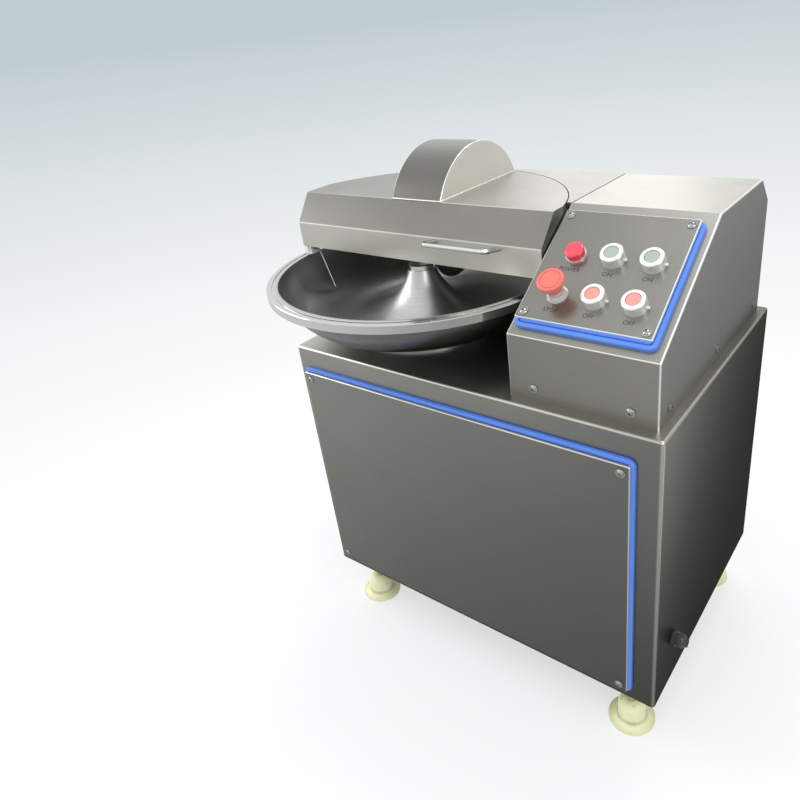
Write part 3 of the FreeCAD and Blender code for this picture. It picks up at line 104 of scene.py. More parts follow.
# Strength and depth in metres of each skin's bump
SHEET_BUMP = (0.10, 0.0002)
METAL_BUMP = (0.10, 0.0005)
PLASTIC_BUMP = (0.08, 0.0004)
TURNED_BUMP = (0.20, 0.0003)

MOULDED_SCALE = 500.0
SPOT_SCALE = 40.0
SHEET_METALLIC = 0.85
COAT_ROUGHNESS = 0.08
# Width of the painted dark reflection at the edges of polished rods and screws
ROD_BLEND = 0.35
SHARP_ANGLE = math.radians(25)
FLAT_WEIGHT = 100

# Dirt and painted shade on the feet: the crease under the hub, how far the dirt and shade reach from it, and
# the specks of dirt
HUB_CREASE = 0.0115
CREASE_REACH = 0.0045
CREASE_GAIN = 1.1
STAIN_SCALE = 55.0
STAIN_FLOOR = 0.62
STAIN_GAIN = 6.0
MERGE_DISTANCE = 0.00001

# Weld bead: points along one ripple and across the bead, and its thickness along the ripple
RIPPLE_STEPS = 5
BEAD_SIDES = 8
BEAD_THIN = 0.78
BEAD_SWELL = 0.22
WELD_INSET = 0.15

# Room light: its brightest way, its range and colour, and how fast the backdrop darkens upward
LIGHT_WAY = Vector((-0.55, -0.25, 0.8)).normalized()
ROOM_RANGE = (-0.6, 0.9)
ROOM_LEVELS = (0.45, 1.15)
ROOM_COLOUR = (0.97, 0.98, 1.0)
BACKDROP_RISE = 2.03
BACKDROP_CURVE = 1.5
FLOOR_FADE_STARTS = 0.4
FLOOR_STRENGTH = 0.45
AIM_HEIGHT = 0.6

# Name, place, size in metres and power in watts of each lamp
LIGHTS = (
    ("key", (-2.2, -0.8, 1.5), 1.2, 15.0),
    ("fill", (2.2, -0.9, 1.7), 1.4, 18.0),
    ("top", (0.3, 1.0, 3.0), 1.0, 14.0),
    ("back", (-0.75, 2.1, 1.75), 0.8, 2.6),
)


def colour_prop(name, description, default):
    return FloatVectorProperty(name=name, description=description, subtype="COLOR", size=3, min=0, max=1,
                               default=default)


def size_prop(name, description, default):
    return FloatProperty(name=name, description=description, unit="LENGTH", default=default, min=0)


class SteelSettings(bpy.types.PropertyGroup):
    """Colour and roughness of the stainless steel, which each material scales by painted light and shade for
    the way its sheets face.
    """

    sheet: colour_prop("Sheet", "Colour of satin stainless sheet at full tone", (0.85, 0.83, 0.75))
    bright: colour_prop("Bright", "Colour of polished stainless", (0.86, 0.86, 0.84))
    sheet_roughness: FloatProperty(name="Sheet roughness", description="Roughness of the satin sheet",
                                   default=0.36, min=0, max=1)
    bowl_roughness: FloatProperty(name="Bowl roughness", description="Roughness inside the bowl",
                                  default=0.30, min=0, max=1)
    rim_roughness: FloatProperty(name="Rim roughness", description="Roughness of the bowl's polished rim",
                                 default=0.10, min=0, max=1)


class ColourSettings(bpy.types.PropertyGroup):
    """Colours of the plastic and rubber pieces."""

    seal: colour_prop("Seal", "Blue silicone of the cover seals", (0.09, 0.24, 0.78))
    foot: colour_prop("Foot", "Ivory nylon of the feet", (0.84, 0.84, 0.52))
    nylon: colour_prop("Scraper", "White nylon of the rim scraper", (0.86, 0.86, 0.84))
    stop: colour_prop("Emergency stop", "Red of the emergency stop head", (0.80, 0.17, 0.13))
    lens: colour_prop("Lamp", "Red of the pilot lamp lens", (0.85, 0.04, 0.07))
    green: colour_prop("Start cap", "Pale green of the start caps", (0.38, 0.45, 0.37))
    red: colour_prop("Stop cap", "Pale red of the stop caps", (0.80, 0.32, 0.27))
    gland: colour_prop("Gland", "Dark grey of the cable gland", (0.045, 0.05, 0.05))
    ink: colour_prop("Ink", "Black of the printed words", (0.02, 0.02, 0.022))
    # This brown also paints shade, together with dirt, in the crease of the feet
    dirt_and_shade: colour_prop("Dirt", "Brown of the dirt on the feet", (0.27, 0.23, 0.11))


class TrimSettings(bpy.types.PropertyGroup):
    """Sizes of the small trim."""

    weld_width: size_prop("Weld bead", "Width of the weld bead round the guard", 0.0035)
    weld_ripple: size_prop("Weld ripple", "Length of one ripple of the bead", 0.004)
    letter_height: size_prop("Letters", "Height of the letters under the switches", 0.0095)
    word_drop: size_prop("Word drop", "Distance from a switch down to its word", 0.0265)
    ink_depth: size_prop("Ink depth", "Thickness of the printed words", 0.00005)


class StageSettings(bpy.types.PropertyGroup):
    """Camera, floor and lights."""

    place: FloatVectorProperty(name="Camera place", description="Where the camera stands",
                               subtype="TRANSLATION", size=3, default=(0.65915, -0.9314, 1.1336))
    turn: FloatProperty(name="Turn", description="Angle of the view round the machine", subtype="ANGLE",
                        default=math.radians(39.41))
    tilt: FloatProperty(name="Tilt", description="Angle of the view below level", subtype="ANGLE",
                        default=math.radians(26.22))
    roll: FloatProperty(name="Roll", description="Lean of the camera", subtype="ANGLE",
                        default=math.radians(6.55))
    lens: FloatProperty(name="Lens", description="Focal length in millimetres", default=31.22, min=1)
    sensor: FloatProperty(name="Sensor", description="Sensor width in millimetres", default=36.0, min=1)
    shift_x: FloatProperty(name="Shift X", description="Sideways shift of the picture", default=-0.0631)
    shift_y: FloatProperty(name="Shift Y", description="Upward shift of the picture", default=-0.0515)
    floor: colour_prop("Floor", "Colour of the floor", (0.90, 0.91, 0.92))
    backdrop: colour_prop("Backdrop", "Colour of the backdrop level with the eye", (0.54, 0.61, 0.65))
    floor_reach: size_prop("Floor reach", "Radius at which the floor has faded into the backdrop", 1.6)


# Shader helpers

def new_group(name, inputs, outputs):
    """Makes an empty shader node group with named sockets and returns it with its two end nodes."""
    group = bpy.data.node_groups.new(name, "ShaderNodeTree")
    for socket_name, kind, default in inputs:
        socket = group.interface.new_socket(socket_name, in_out="INPUT", socket_type=kind)
        socket.default_value = default
    for socket_name, kind in outputs:
        group.interface.new_socket(socket_name, in_out="OUTPUT", socket_type=kind)
    start = group.nodes.new("NodeGroupInput")
    end = group.nodes.new("NodeGroupOutput")
    return group, start, end


def add(tree, kind, **values):
    node = tree.nodes.new(kind)
    for key, value in values.items():
        setattr(node, key, value)
    return node


def put(tree, socket, value):
    """Sets a socket to a number or links it to another socket."""
    if isinstance(value, bpy.types.NodeSocket):
        tree.links.new(value, socket)
    else:
        socket.default_value = value


def math_node(tree, operation, first, second=0.0, clamp=False):
    node = add(tree, "ShaderNodeMath", operation=operation, use_clamp=clamp)
    put(tree, node.inputs[0], first)
    put(tree, node.inputs[1], second)
    return node.outputs[0]


def dot(tree, first, second):
    """Product of two directions, which is 1 where they agree."""
    node = add(tree, "ShaderNodeVectorMath", operation="DOT_PRODUCT")
    put(tree, node.inputs[0], first)
    put(tree, node.inputs[1], second)
    return node.outputs["Value"]


def split(tree, vector):
    """Outputs X, Y and Z of a vector."""
    node = add(tree, "ShaderNodeSeparateXYZ")
    tree.links.new(vector, node.inputs[0])
    return node.outputs


def rescale(tree, value, source, target=(0.0, 1.0), smooth=True):
    """Carries a value from one range over to another."""
    node = add(tree, "ShaderNodeMapRange", interpolation_type="SMOOTHSTEP" if smooth else "LINEAR")
    tree.links.new(value, node.inputs["Value"])
    for name, limit in zip(("From Min", "From Max", "To Min", "To Max"), (*source, *target)):
        node.inputs[name].default_value = limit
    return node.outputs[0]


def blend_colour(tree, factor, first, second, mode="MIX"):
    node = add(tree, "ShaderNodeMix", data_type="RGBA", blend_type=mode)
    put(tree, node.inputs["Factor"], factor)
    put(tree, node.inputs[6], first)
    put(tree, node.inputs[7], second)
    return node.outputs[2]


def noise(tree, vector, scale, detail=3.0, roughness=0.5):
    node = add(tree, "ShaderNodeTexNoise")
    tree.links.new(vector, node.inputs["Vector"])
    put(tree, node.inputs["Scale"], scale)
    put(tree, node.inputs["Detail"], detail)
    put(tree, node.inputs["Roughness"], roughness)
    return node.outputs["Fac"]


def painted_facing_light(group, normal, start):
    """Painted light and shade for the way that a surface faces, blended over rounded edges, which take their
    own painted tone.
    """
    parts = split(group, normal)
    total, weights = 0.0, 0.0
    for axis, plus, minus in (("X", "Right", "Left"), ("Y", "Back", "Front"), ("Z", "Up", "Down")):
        value = parts[axis]
        weight = math_node(group, "POWER", math_node(group, "ABSOLUTE", value), FACE_SHARPNESS)
        positive = math_node(group, "GREATER_THAN", value, 0.0)
        gap = math_node(group, "SUBTRACT", start.outputs[plus], start.outputs[minus])
        side = math_node(group, "ADD", math_node(group, "MULTIPLY", positive, gap), start.outputs[minus])
        total = math_node(group, "ADD", math_node(group, "MULTIPLY", weight, side), total)
        weights = math_node(group, "ADD", weight, weights)
    along = math_node(group, "MAXIMUM", dot(group, normal, start.outputs["Slope way"]), 0.0)
    weight = math_node(group, "POWER", along, SLOPE_SHARPNESS)
    total = math_node(group, "ADD", math_node(group, "MULTIPLY", weight, start.outputs["Slope"]), total)
    weights = math_node(group, "ADD", weight, weights)
    rest = math_node(group, "SUBTRACT", 1.0, weights, True)
    total = math_node(group, "ADD", math_node(group, "MULTIPLY", rest, start.outputs["Edge"]), total)
    return math_node(group, "DIVIDE", total, math_node(group, "ADD", weights, rest))


def painted_drift_stops(group, place, normal, start):
    """Painted light across the machine: a slow change of tone, in doublings, with its own slope on the right
    side.
    """
    away = add(group, "ShaderNodeVectorMath", operation="SUBTRACT")
    group.links.new(place, away.inputs[0])
    away.inputs[1].default_value = CENTRE_AXIS
    side = math_node(group, "GREATER_THAN", split(group, normal)["X"], SIDE_STARTS)
    stops = 0.0
    for name, share in (("Drift", math_node(group, "SUBTRACT", 1.0, side)), ("Side drift", side)):
        drift = dot(group, away.outputs[0], start.outputs[name])
        stops = math_node(group, "ADD", math_node(group, "MULTIPLY", drift, share), stops)
    return stops


def painted_seam_highlight(group, normal, start):
    """Painted highlight on the edges that turn partly to the side."""
    turned = math_node(group, "ABSOLUTE", split(group, normal)["X"])
    seam = math_node(group, "MULTIPLY", math_node(group, "GREATER_THAN", turned, SEAM_STARTS),
                     math_node(group, "LESS_THAN", turned, SEAM_ENDS))
    return math_node(group, "MULTIPLY", seam, start.outputs["Seam"])


def make_facing_group():
    """Painted light and shade on a sheet by the way it faces, with a painted drift of light across the
    machine and a painted highlight on seams.
    """
    sides = ("Up", "Down", "Front", "Back", "Right", "Left", "Slope", "Edge")
    group, start, end = new_group(
        "Painted sheet light", [(side, "NodeSocketFloat", 0.5) for side in sides]
        + [("Slope way", "NodeSocketVector", OFF_SLOPE), ("Drift", "NodeSocketVector", (0.0, 0.0, 0.0)),
           ("Side drift", "NodeSocketVector", (0.0, 0.0, 0.0)), ("Seam", "NodeSocketFloat", 0.0)],
        [("Tone", "NodeSocketFloat")])
    coordinates = add(group, "ShaderNodeTexCoord")
    normal = coordinates.outputs["Normal"]
    # Painted light and shade by facing, scaled by the painted drift, plus the painted seam highlight
    stops = painted_drift_stops(group, coordinates.outputs["Object"], normal, start)
    share = math_node(group, "POWER", 2.0, stops)
    tone = math_node(group, "MULTIPLY", painted_facing_light(group, normal, start), share)
    tone = math_node(group, "ADD", tone, painted_seam_highlight(group, normal, start))
    group.links.new(tone, end.inputs["Tone"])
    return group


def make_grain_group():
    """Fine brushed grain along one direction, with soft clouds and faint finger marks."""
    group, start, end = new_group(
        "Brushed grain",
        [("Stretch", "NodeSocketVector", GRAIN_UP), ("Clouds", "NodeSocketFloat", 0.10),
         ("Marks", "NodeSocketFloat", 0.06)],
        [("Tone", "NodeSocketFloat"), ("Roughness", "NodeSocketFloat"), ("Height", "NodeSocketFloat")])
    place = add(group, "ShaderNodeTexCoord").outputs["Object"]
    stretched = add(group, "ShaderNodeVectorMath", operation="MULTIPLY")
    group.links.new(place, stretched.inputs[0])
    group.links.new(start.outputs["Stretch"], stretched.inputs[1])
    fine = noise(group, stretched.outputs[0], 1.0, 3.0, 0.6)
    cloud = noise(group, place, CLOUD_SCALE, 3.0, 0.5)
    smear = noise(group, place, SMEAR_SCALE, 4.0, 0.6)
    smear = math_node(group, "SUBTRACT", smear, SMEAR_FLOOR, True)
    smear = math_node(group, "MULTIPLY", smear, SMEAR_GAIN, True)
    fine_off = math_node(group, "SUBTRACT", fine, 0.5)
    cloud_off = math_node(group, "SUBTRACT", cloud, 0.5)
    tone = math_node(group, "ADD", math_node(group, "MULTIPLY", cloud_off, start.outputs["Clouds"]), 1.0)
    tone = math_node(group, "ADD", math_node(group, "MULTIPLY", fine_off, GRAIN_TONE), tone)
    group.links.new(tone, end.inputs["Tone"])
    rough = math_node(group, "ADD", math_node(group, "MULTIPLY", fine_off, GRAIN_ROUGHNESS),
                      math_node(group, "MULTIPLY", smear, start.outputs["Marks"]))
    group.links.new(rough, end.inputs["Roughness"])
    group.links.new(fine, end.inputs["Height"])
    return group


def make_ring_group():
    """Fine rings turned about an upright axis, with painted shade underneath and a painted highlight on the
    rim.
    """
    group, start, end = new_group(
        "Turned rings with painted light", [("Centre X", "NodeSocketFloat", 0.0), ("Centre Y", "NodeSocketFloat", 0.0),
                         ("Fineness", "NodeSocketFloat", 300.0), ("Under", "NodeSocketFloat", 0.1),
                         ("Inside", "NodeSocketFloat", 0.5), ("Rim", "NodeSocketFloat", 0.9),
                         ("Rim starts", "NodeSocketFloat", 0.262)],
        [("Tone", "NodeSocketFloat"), ("Height", "NodeSocketFloat"), ("Polish", "NodeSocketFloat")])
    coordinates = add(group, "ShaderNodeTexCoord")
    parts = split(group, coordinates.outputs["Object"])
    away_x = math_node(group, "SUBTRACT", parts["X"], start.outputs["Centre X"])
    away_y = math_node(group, "SUBTRACT", parts["Y"], start.outputs["Centre Y"])
    radius = math_node(group, "SQRT", math_node(group, "ADD", math_node(group, "MULTIPLY", away_x, away_x),
                                                math_node(group, "MULTIPLY", away_y, away_y)))
    line = add(group, "ShaderNodeCombineXYZ")
    group.links.new(radius, line.inputs["X"])
    group.links.new(math_node(group, "MULTIPLY", parts["Z"], RING_FALL), line.inputs["Y"])
    fine = noise(group, line.outputs[0], start.outputs["Fineness"], 4.0, 0.7)
    ring = math_node(group, "MULTIPLY", math_node(group, "SUBTRACT", fine, 0.5), RING_TONE)
    tone = math_node(group, "ADD", ring, 1.0)
    # Painted shade on faces turned down, and a painted highlight on the rim
    upward = split(group, coordinates.outputs["Normal"])["Z"]
    over = rescale(group, upward, (UNDER_ENDS, OVER_STARTS))
    on_rim = math_node(group, "GREATER_THAN", radius, start.outputs["Rim starts"])
    rim_gap = math_node(group, "SUBTRACT", start.outputs["Rim"], start.outputs["Inside"])
    lit = math_node(group, "ADD", start.outputs["Inside"], math_node(group, "MULTIPLY", on_rim, rim_gap))
    gap = math_node(group, "SUBTRACT", lit, start.outputs["Under"])
    level = math_node(group, "ADD", start.outputs["Under"], math_node(group, "MULTIPLY", over, gap))
    group.links.new(math_node(group, "MULTIPLY", tone, level), end.inputs["Tone"])
    group.links.new(fine, end.inputs["Height"])
    group.links.new(math_node(group, "MULTIPLY", on_rim, over), end.inputs["Polish"])
    return group


def make_speckle_group():
    """Moulded or cast surface: soft clouds of tone and a fine pimple height."""
    group, start, end = new_group(
        "Moulded skin", [("Scale", "NodeSocketFloat", 400.0), ("Clouds", "NodeSocketFloat", 0.12)],
        [("Tone", "NodeSocketFloat"), ("Height", "NodeSocketFloat")])
    place = add(group, "ShaderNodeTexCoord").outputs["Object"]
    fine = noise(group, place, start.outputs["Scale"], 2.0, 0.5)
    cloud = math_node(group, "SUBTRACT", noise(group, place, SPOT_SCALE, 4.0, 0.6), 0.5)
    cloud = math_node(group, "MULTIPLY", cloud, start.outputs["Clouds"])
    group.links.new(math_node(group, "ADD", cloud, 1.0), end.inputs["Tone"])
    group.links.new(fine, end.inputs["Height"])
    return group


GROUP_MAKERS = {"Painted sheet light": make_facing_group, "Brushed grain": make_grain_group,
                "Turned rings with painted light": make_ring_group, "Moulded skin": make_speckle_group}


def place_group(tree, name, **values):
    """Puts a shared node group into a material, building the group the first time."""
    group = bpy.data.node_groups.get(name) or GROUP_MAKERS[name]()
    node = add(tree, "ShaderNodeGroup")
    node.node_tree = group
    for key, value in values.items():
        put(tree, node.inputs[key], value)
    return node


def new_material(name):
    material = bpy.data.materials.new(name)
    material.use_nodes = True
    return material, material.node_tree, material.node_tree.nodes["Principled BSDF"]


def bump(tree, shader, height, strength, distance):
    node = add(tree, "ShaderNodeBump")
    node.inputs["Strength"].default_value = strength
    node.inputs["Distance"].default_value = distance
    tree.links.new(height, node.inputs["Height"])
    tree.links.new(node.outputs["Normal"], shader.inputs["Normal"])


def rgba(colour):
    return (colour[0], colour[1], colour[2], 1.0)


def toned(tree, colour, tone):
    """Colour times a tone that changes over the surface."""
    grey = add(tree, "ShaderNodeCombineColor")
    for socket in grey.inputs[:3]:
        put(tree, socket, tone)
    return blend_colour(tree, 1.0, rgba(colour), grey.outputs[0], "MULTIPLY")


def satin_sheet(name, painted_light_tones, stretch=GRAIN_UP, roughness=None, drift=(0.0, 0.0, 0.0),
                side_drift=(0.0, 0.0, 0.0), way=OFF_SLOPE, marks=0.10, clouds=0.2, grazing=1.0):
    """Satin stainless sheet, with painted light and shade for each way that it faces and a slow painted
    drift of light across the machine.
    """
    steel = bpy.context.scene.bowl_cutter_steel
    rough = steel.sheet_roughness if roughness is None else roughness
    material, tree, shader = new_material(name)
    facing = place_group(tree, "Painted sheet light", Drift=drift, **painted_light_tones)
    facing.inputs["Side drift"].default_value = side_drift
    facing.inputs["Slope way"].default_value = way
    grain = place_group(tree, "Brushed grain", Stretch=stretch, Clouds=clouds, Marks=marks)
    tone = math_node(tree, "MULTIPLY", facing.outputs["Tone"], grain.outputs["Tone"])
    tree.links.new(toned(tree, steel.sheet, tone), shader.inputs["Base Color"])
    shader.inputs["Metallic"].default_value = SHEET_METALLIC if grazing == 1.0 else 1.0
    shader.inputs["Specular Tint"].default_value = rgba([grazing] * 3)
    uneven = math_node(tree, "ADD", grain.outputs["Roughness"], rough, True)
    tree.links.new(uneven, shader.inputs["Roughness"])
    bump(tree, shader, grain.outputs["Height"], *SHEET_BUMP)
    return material


def metal(name, colour, roughness, metallic=1.0, grain=0.6):
    """Machined or cast metal with a moulded or turned skin."""
    material, tree, shader = new_material(name)
    skin = place_group(tree, "Moulded skin", Scale=MOULDED_SCALE, Clouds=0.25 * grain)
    tree.links.new(toned(tree, colour, skin.outputs["Tone"]), shader.inputs["Base Color"])
    shader.inputs["Metallic"].default_value = metallic
    shader.inputs["Roughness"].default_value = roughness
    strength, depth = METAL_BUMP
    bump(tree, shader, skin.outputs["Height"], strength * grain, depth)
    return material


def outlined_metal(name, colour, roughness, rim=0.06):
    """Polished rods and screws, with painted dark reflections where they turn away from the eye."""
    material = metal(name, colour, roughness, 1.0, 0.2)
    tree = material.node_tree
    shader = tree.nodes["Principled BSDF"]
    # Painted dark reflection where the surface turns away from the eye
    facing = add(tree, "ShaderNodeLayerWeight")
    facing.inputs["Blend"].default_value = ROD_BLEND
    plain = shader.inputs["Base Color"].links[0].from_socket
    edge = rgba([channel * rim for channel in colour])
    tree.links.new(blend_colour(tree, facing.outputs["Facing"], plain, edge), shader.inputs["Base Color"])
    return material


def plastic(name, colour, roughness, coat=0.0):
    """Moulded plastic or rubber."""
    material, tree, shader = new_material(name)
    skin = place_group(tree, "Moulded skin", Scale=MOULDED_SCALE, Clouds=0.10)
    tree.links.new(toned(tree, colour, skin.outputs["Tone"]), shader.inputs["Base Color"])
    shader.inputs["Roughness"].default_value = roughness
    shader.inputs["Coat Weight"].default_value = coat
    shader.inputs["Coat Roughness"].default_value = COAT_ROUGHNESS
    bump(tree, shader, skin.outputs["Height"], *PLASTIC_BUMP)
    return material


def dress(material, *nodes):
    """Gives CAD nodes a material, and shades their round faces smoothly."""
    for name in nodes:
        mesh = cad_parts[name].data
        mesh.materials.clear()
        mesh.materials.append(material)
        mesh.shade_smooth()
        mesh.set_sharp_from_angle(angle=SHARP_ANGLE)
        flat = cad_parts[name].modifiers.new("flat faces stay flat", "WEIGHTED_NORMAL")
        flat.keep_sharp = True
        flat.weight = FLAT_WEIGHT


def piece(name, mesh, material, body):
    """Adds a piece of trim that moves with a body."""
    mesh.materials.append(material)
    part = bpy.data.objects.new(name, mesh)
    bpy.context.scene.collection.objects.link(part)
    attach(part, body)
    return part


class PieceOperator:
    """What every operator here shares."""

    bl_options = {"REGISTER", "UNDO"}


class BOWLCUTTER_OT_cabinet(PieceOperator, bpy.types.Operator):
    """Satin finish of the cabinet, its covers and its frame, with painted light and shade on the sheets"""

    bl_idname = "bowl_cutter.cabinet"
    bl_label = "Cabinet finish"

    def execute(self, context):
        # Painted light and shade for each way the cabinet's sheets face, and a painted drift of light across
        # them
        shell = {"Up": 0.53, "Down": 0.15, "Front": 0.23, "Back": 0.32, "Right": 0.22, "Left": 0.32,
                 "Slope": 0.4, "Edge": 0.75}
        cabinet = satin_sheet("cabinet_sheet", shell, drift=(-1.2, -1.0, 2.5), side_drift=(0.0, -4.0, 5.0),
                              marks=0.03, grazing=0.35)
        # Painted light and shade on the front panel, with a painted highlight on its right fold and rounded
        # edges
        cover = {"Up": 0.8, "Down": 0.2, "Front": 0.215, "Back": 0.2, "Right": 1.15, "Left": 0.6,
                 "Slope": 0.8, "Edge": 1.1}
        panel = satin_sheet("front_panel_sheet", cover, drift=(-1.0, 0.0, 2.2))
        dress(cabinet, "cabinet_shell", "rear_panel")
        dress(panel, "front_panel")
        paint = metal("painted_frame", (0.35, 0.36, 0.36), 0.5, 0.2)
        dress(paint, "base_frame", "motor_mount", "electrical_box")
        return {"FINISHED"}


class BOWLCUTTER_OT_housings(PieceOperator, bpy.types.Operator):
    """Satin finish of the control housing and the rear housing, with painted light and shade"""

    bl_idname = "bowl_cutter.housings"
    bl_label = "Housing finish"

    def execute(self, context):
        # Painted light and shade for each way the housings face, and a painted drift of light across them
        painted_light_tones = {"Up": 0.37, "Down": 0.2, "Front": 0.21, "Back": 0.3, "Right": 0.195, "Left": 0.25,
                 "Slope": 0.22, "Edge": 0.9}
        dress(satin_sheet("housing_sheet", painted_light_tones, drift=(1.2, 0.6, 1.4), side_drift=(0.0, -1.2, 3.0)),
              "control_housing")
        rear = dict(painted_light_tones, Up=0.5, Front=0.2, Left=0.3)
        dress(satin_sheet("rear_housing_sheet", rear, drift=(-0.8, 0.0, 0.6)), "rear_housing")
        # Painted light and shade on the control plate, with a painted highlight on its right fold and
        # rounded edges
        plate = {"Up": 0.8, "Down": 0.3, "Front": 0.5, "Back": 0.6, "Right": 1.15, "Left": 0.6,
                 "Slope": 0.135, "Edge": 1.1}
        dress(satin_sheet("control_plate_sheet", plate, stretch=GRAIN_ACROSS, roughness=0.27,
                          drift=(1.6, 0.0, 0.0)), "control_plate")
        return {"FINISHED"}


class BOWLCUTTER_OT_bowl(PieceOperator, bpy.types.Operator):
    """Turned finish of the bowl, its cap and the ring on the deck, with painted shade underneath and a
    painted highlight on the rim
    """

    bl_idname = "bowl_cutter.bowl"
    bl_label = "Bowl finish"

    def execute(self, context):
        # Painted shade under the bowl and the cap, and a painted highlight on the bowl's rim
        dress(self.turned("turned_bowl", Under=0.20, Inside=0.58, Rim=0.72), "bowl")
        dress(self.turned("turned_cap", Under=0.5, Inside=0.9), "bowl_cap_nut", "deck_collar")
        return {"FINISHED"}

    def turned(self, name, **levels):
        """Steel turned on a lathe: fine rings that draw each highlight out across them."""
        steel = bpy.context.scene.bowl_cutter_steel
        material, tree, shader = new_material(name)
        rings = place_group(tree, "Turned rings with painted light", Fineness=260.0, **levels)
        rings.inputs["Centre X"].default_value = BOWL_AXIS.x
        rings.inputs["Centre Y"].default_value = BOWL_AXIS.y
        tree.links.new(toned(tree, steel.bright, rings.outputs["Tone"]), shader.inputs["Base Color"])
        shader.inputs["Metallic"].default_value = 1.0
        change = steel.rim_roughness - steel.bowl_roughness
        polished = math_node(tree, "MULTIPLY", rings.outputs["Polish"], change)
        rough = math_node(tree, "ADD", polished, steel.bowl_roughness)
        tree.links.new(rough, shader.inputs["Roughness"])
        shader.inputs["Anisotropic"].default_value = 0.7
        tangent = add(tree, "ShaderNodeTangent", direction_type="RADIAL", axis="Z")
        tree.links.new(tangent.outputs[0], shader.inputs["Tangent"])
        bump(tree, shader, rings.outputs["Height"], *TURNED_BUMP)
        return material


class BOWLCUTTER_OT_lid(PieceOperator, bpy.types.Operator):
    """Finish of the lid, its guard, handle, scraper and hinge, with painted light and shade on the sheets
    and a painted highlight on the guard's seams
    """

    bl_idname = "bowl_cutter.lid"
    bl_label = "Lid finish"

    def execute(self, context):
        colours = context.scene.bowl_cutter_colours
        steel = context.scene.bowl_cutter_steel
        # Painted light and shade for each way the lid faces, and a painted drift of light along it
        painted_light_tones = {"Up": 0.5, "Down": 0.45, "Front": 0.69, "Back": 0.4, "Right": 0.3, "Left": 0.5,
                 "Slope": 0.235, "Edge": 0.95}
        lid = satin_sheet("lid_sheet", painted_light_tones, stretch=GRAIN_ALONG, drift=(0.9, 0.0, 0.0), way=FACET_WAY,
                          clouds=0.7)
        dress(lid, "lid_shell")
        # Painted light and shade on the guard, with a painted highlight on its right side and seams
        dome = {"Up": 0.42, "Down": 0.3, "Front": 0.17, "Back": 0.3, "Right": 1.19, "Left": 0.6,
                "Slope": 0.18, "Edge": 0.19, "Seam": 1.0}
        dress(satin_sheet("guard_sheet", dome), "knife_dome")
        # Painted dark reflections at the edges of the handle and the scraper rod
        dress(outlined_metal("bright_rod", steel.bright, 0.14, 0.02), "lid_handle")
        dress(outlined_metal("dark_rod", (0.30, 0.30, 0.29), 0.12, 0.02), "scraper_rod")
        hinge = metal("hinge_steel", (0.6, 0.6, 0.59), 0.3)
        dress(hinge, "lid_hinge_base", "lid_hinge_pin", "lid_hinge_arms")
        dress(plastic("white_nylon", colours.nylon, 0.4), "rim_scraper")
        return {"FINISHED"}


class BOWLCUTTER_OT_seals(PieceOperator, bpy.types.Operator):
    """Blue silicone of the two cover seals"""

    bl_idname = "bowl_cutter.seals"
    bl_label = "Cover seals"

    def execute(self, context):
        colours = context.scene.bowl_cutter_colours
        silicone = plastic("blue_silicone", colours.seal, 0.32, 0.2)
        dress(silicone, "front_panel_gasket", "control_plate_gasket")
        return {"FINISHED"}


class BOWLCUTTER_OT_switches(PieceOperator, bpy.types.Operator):
    """Plastic and plated finishes of the switches and the lamp"""

    bl_idname = "bowl_cutter.switches"
    bl_label = "Switches and lamp"

    def execute(self, context):
        colours = context.scene.bowl_cutter_colours
        steel = context.scene.bowl_cutter_steel
        plated = metal("plated_ring", steel.bright, 0.2, 0.6, 0.1)
        dress(plated, "device_bezels", "estop_collar", "estop_stem")
        dress(plastic("start_cap", colours.green, 0.3, 0.4), "start_knife_button", "start_bowl_button")
        dress(plastic("stop_cap", colours.red, 0.3, 0.4), "stop_knife_button", "stop_bowl_button")
        dress(plastic("stop_head", colours.stop, 0.35, 0.3), "estop_head")
        dress(plastic("lamp_lens", colours.lens, 0.15, 0.8), "pilot_lamp_lens")
        dress(plastic("contact_plastic", (0.05, 0.05, 0.055), 0.5), "contact_blocks", "lid_switch")
        return {"FINISHED"}


class BOWLCUTTER_OT_marks(PieceOperator, bpy.types.Operator):
    """Plain printed words under the switches"""

    bl_idname = "bowl_cutter.marks"
    bl_label = "Switch marks"

    def execute(self, context):
        trim = context.scene.bowl_cutter_trim
        ink = plastic("printed_ink", context.scene.bowl_cutter_colours.ink, 0.5)
        words = {"pilot_lamp_lens": "POWER", "start_knife_button": "ON", "start_bowl_button": "ON",
                 "stop_knife_button": "OFF", "stop_bowl_button": "OFF", "estop_collar": "STOP"}
        turn = Matrix((Vector((1, 0, 0)), UP_SLOPE, OFF_SLOPE)).transposed().to_4x4()
        face = self.plate_height() + trim.ink_depth
        for node, word in words.items():
            low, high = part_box(node)
            middle = (low + high) / 2
            middle += OFF_SLOPE * (face - middle.dot(OFF_SLOPE)) - UP_SLOPE * trim.word_drop
            mesh = self.word_mesh(node, word, trim)
            mesh.transform(Matrix.Translation(middle) @ turn)
            piece("mark_" + node, mesh, ink, "cabinet")
        return {"FINISHED"}

    def word_mesh(self, node, word, trim):
        """Flat letters of one word, centred on its middle."""
        text = bpy.data.curves.new("word_" + node, "FONT")
        text.body = word
        text.size = trim.letter_height
        text.align_x = "CENTER"
        text.align_y = "CENTER"
        text.extrude = trim.ink_depth
        flat = bpy.data.objects.new("word", text)
        mesh = bpy.data.meshes.new_from_object(flat)
        bpy.data.objects.remove(flat)
        return mesh

    def plate_height(self):
        """Height of the control plate's face along the slope's normal."""
        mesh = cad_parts["control_plate"].data
        return max(vertex.co.dot(OFF_SLOPE) for vertex in mesh.vertices)


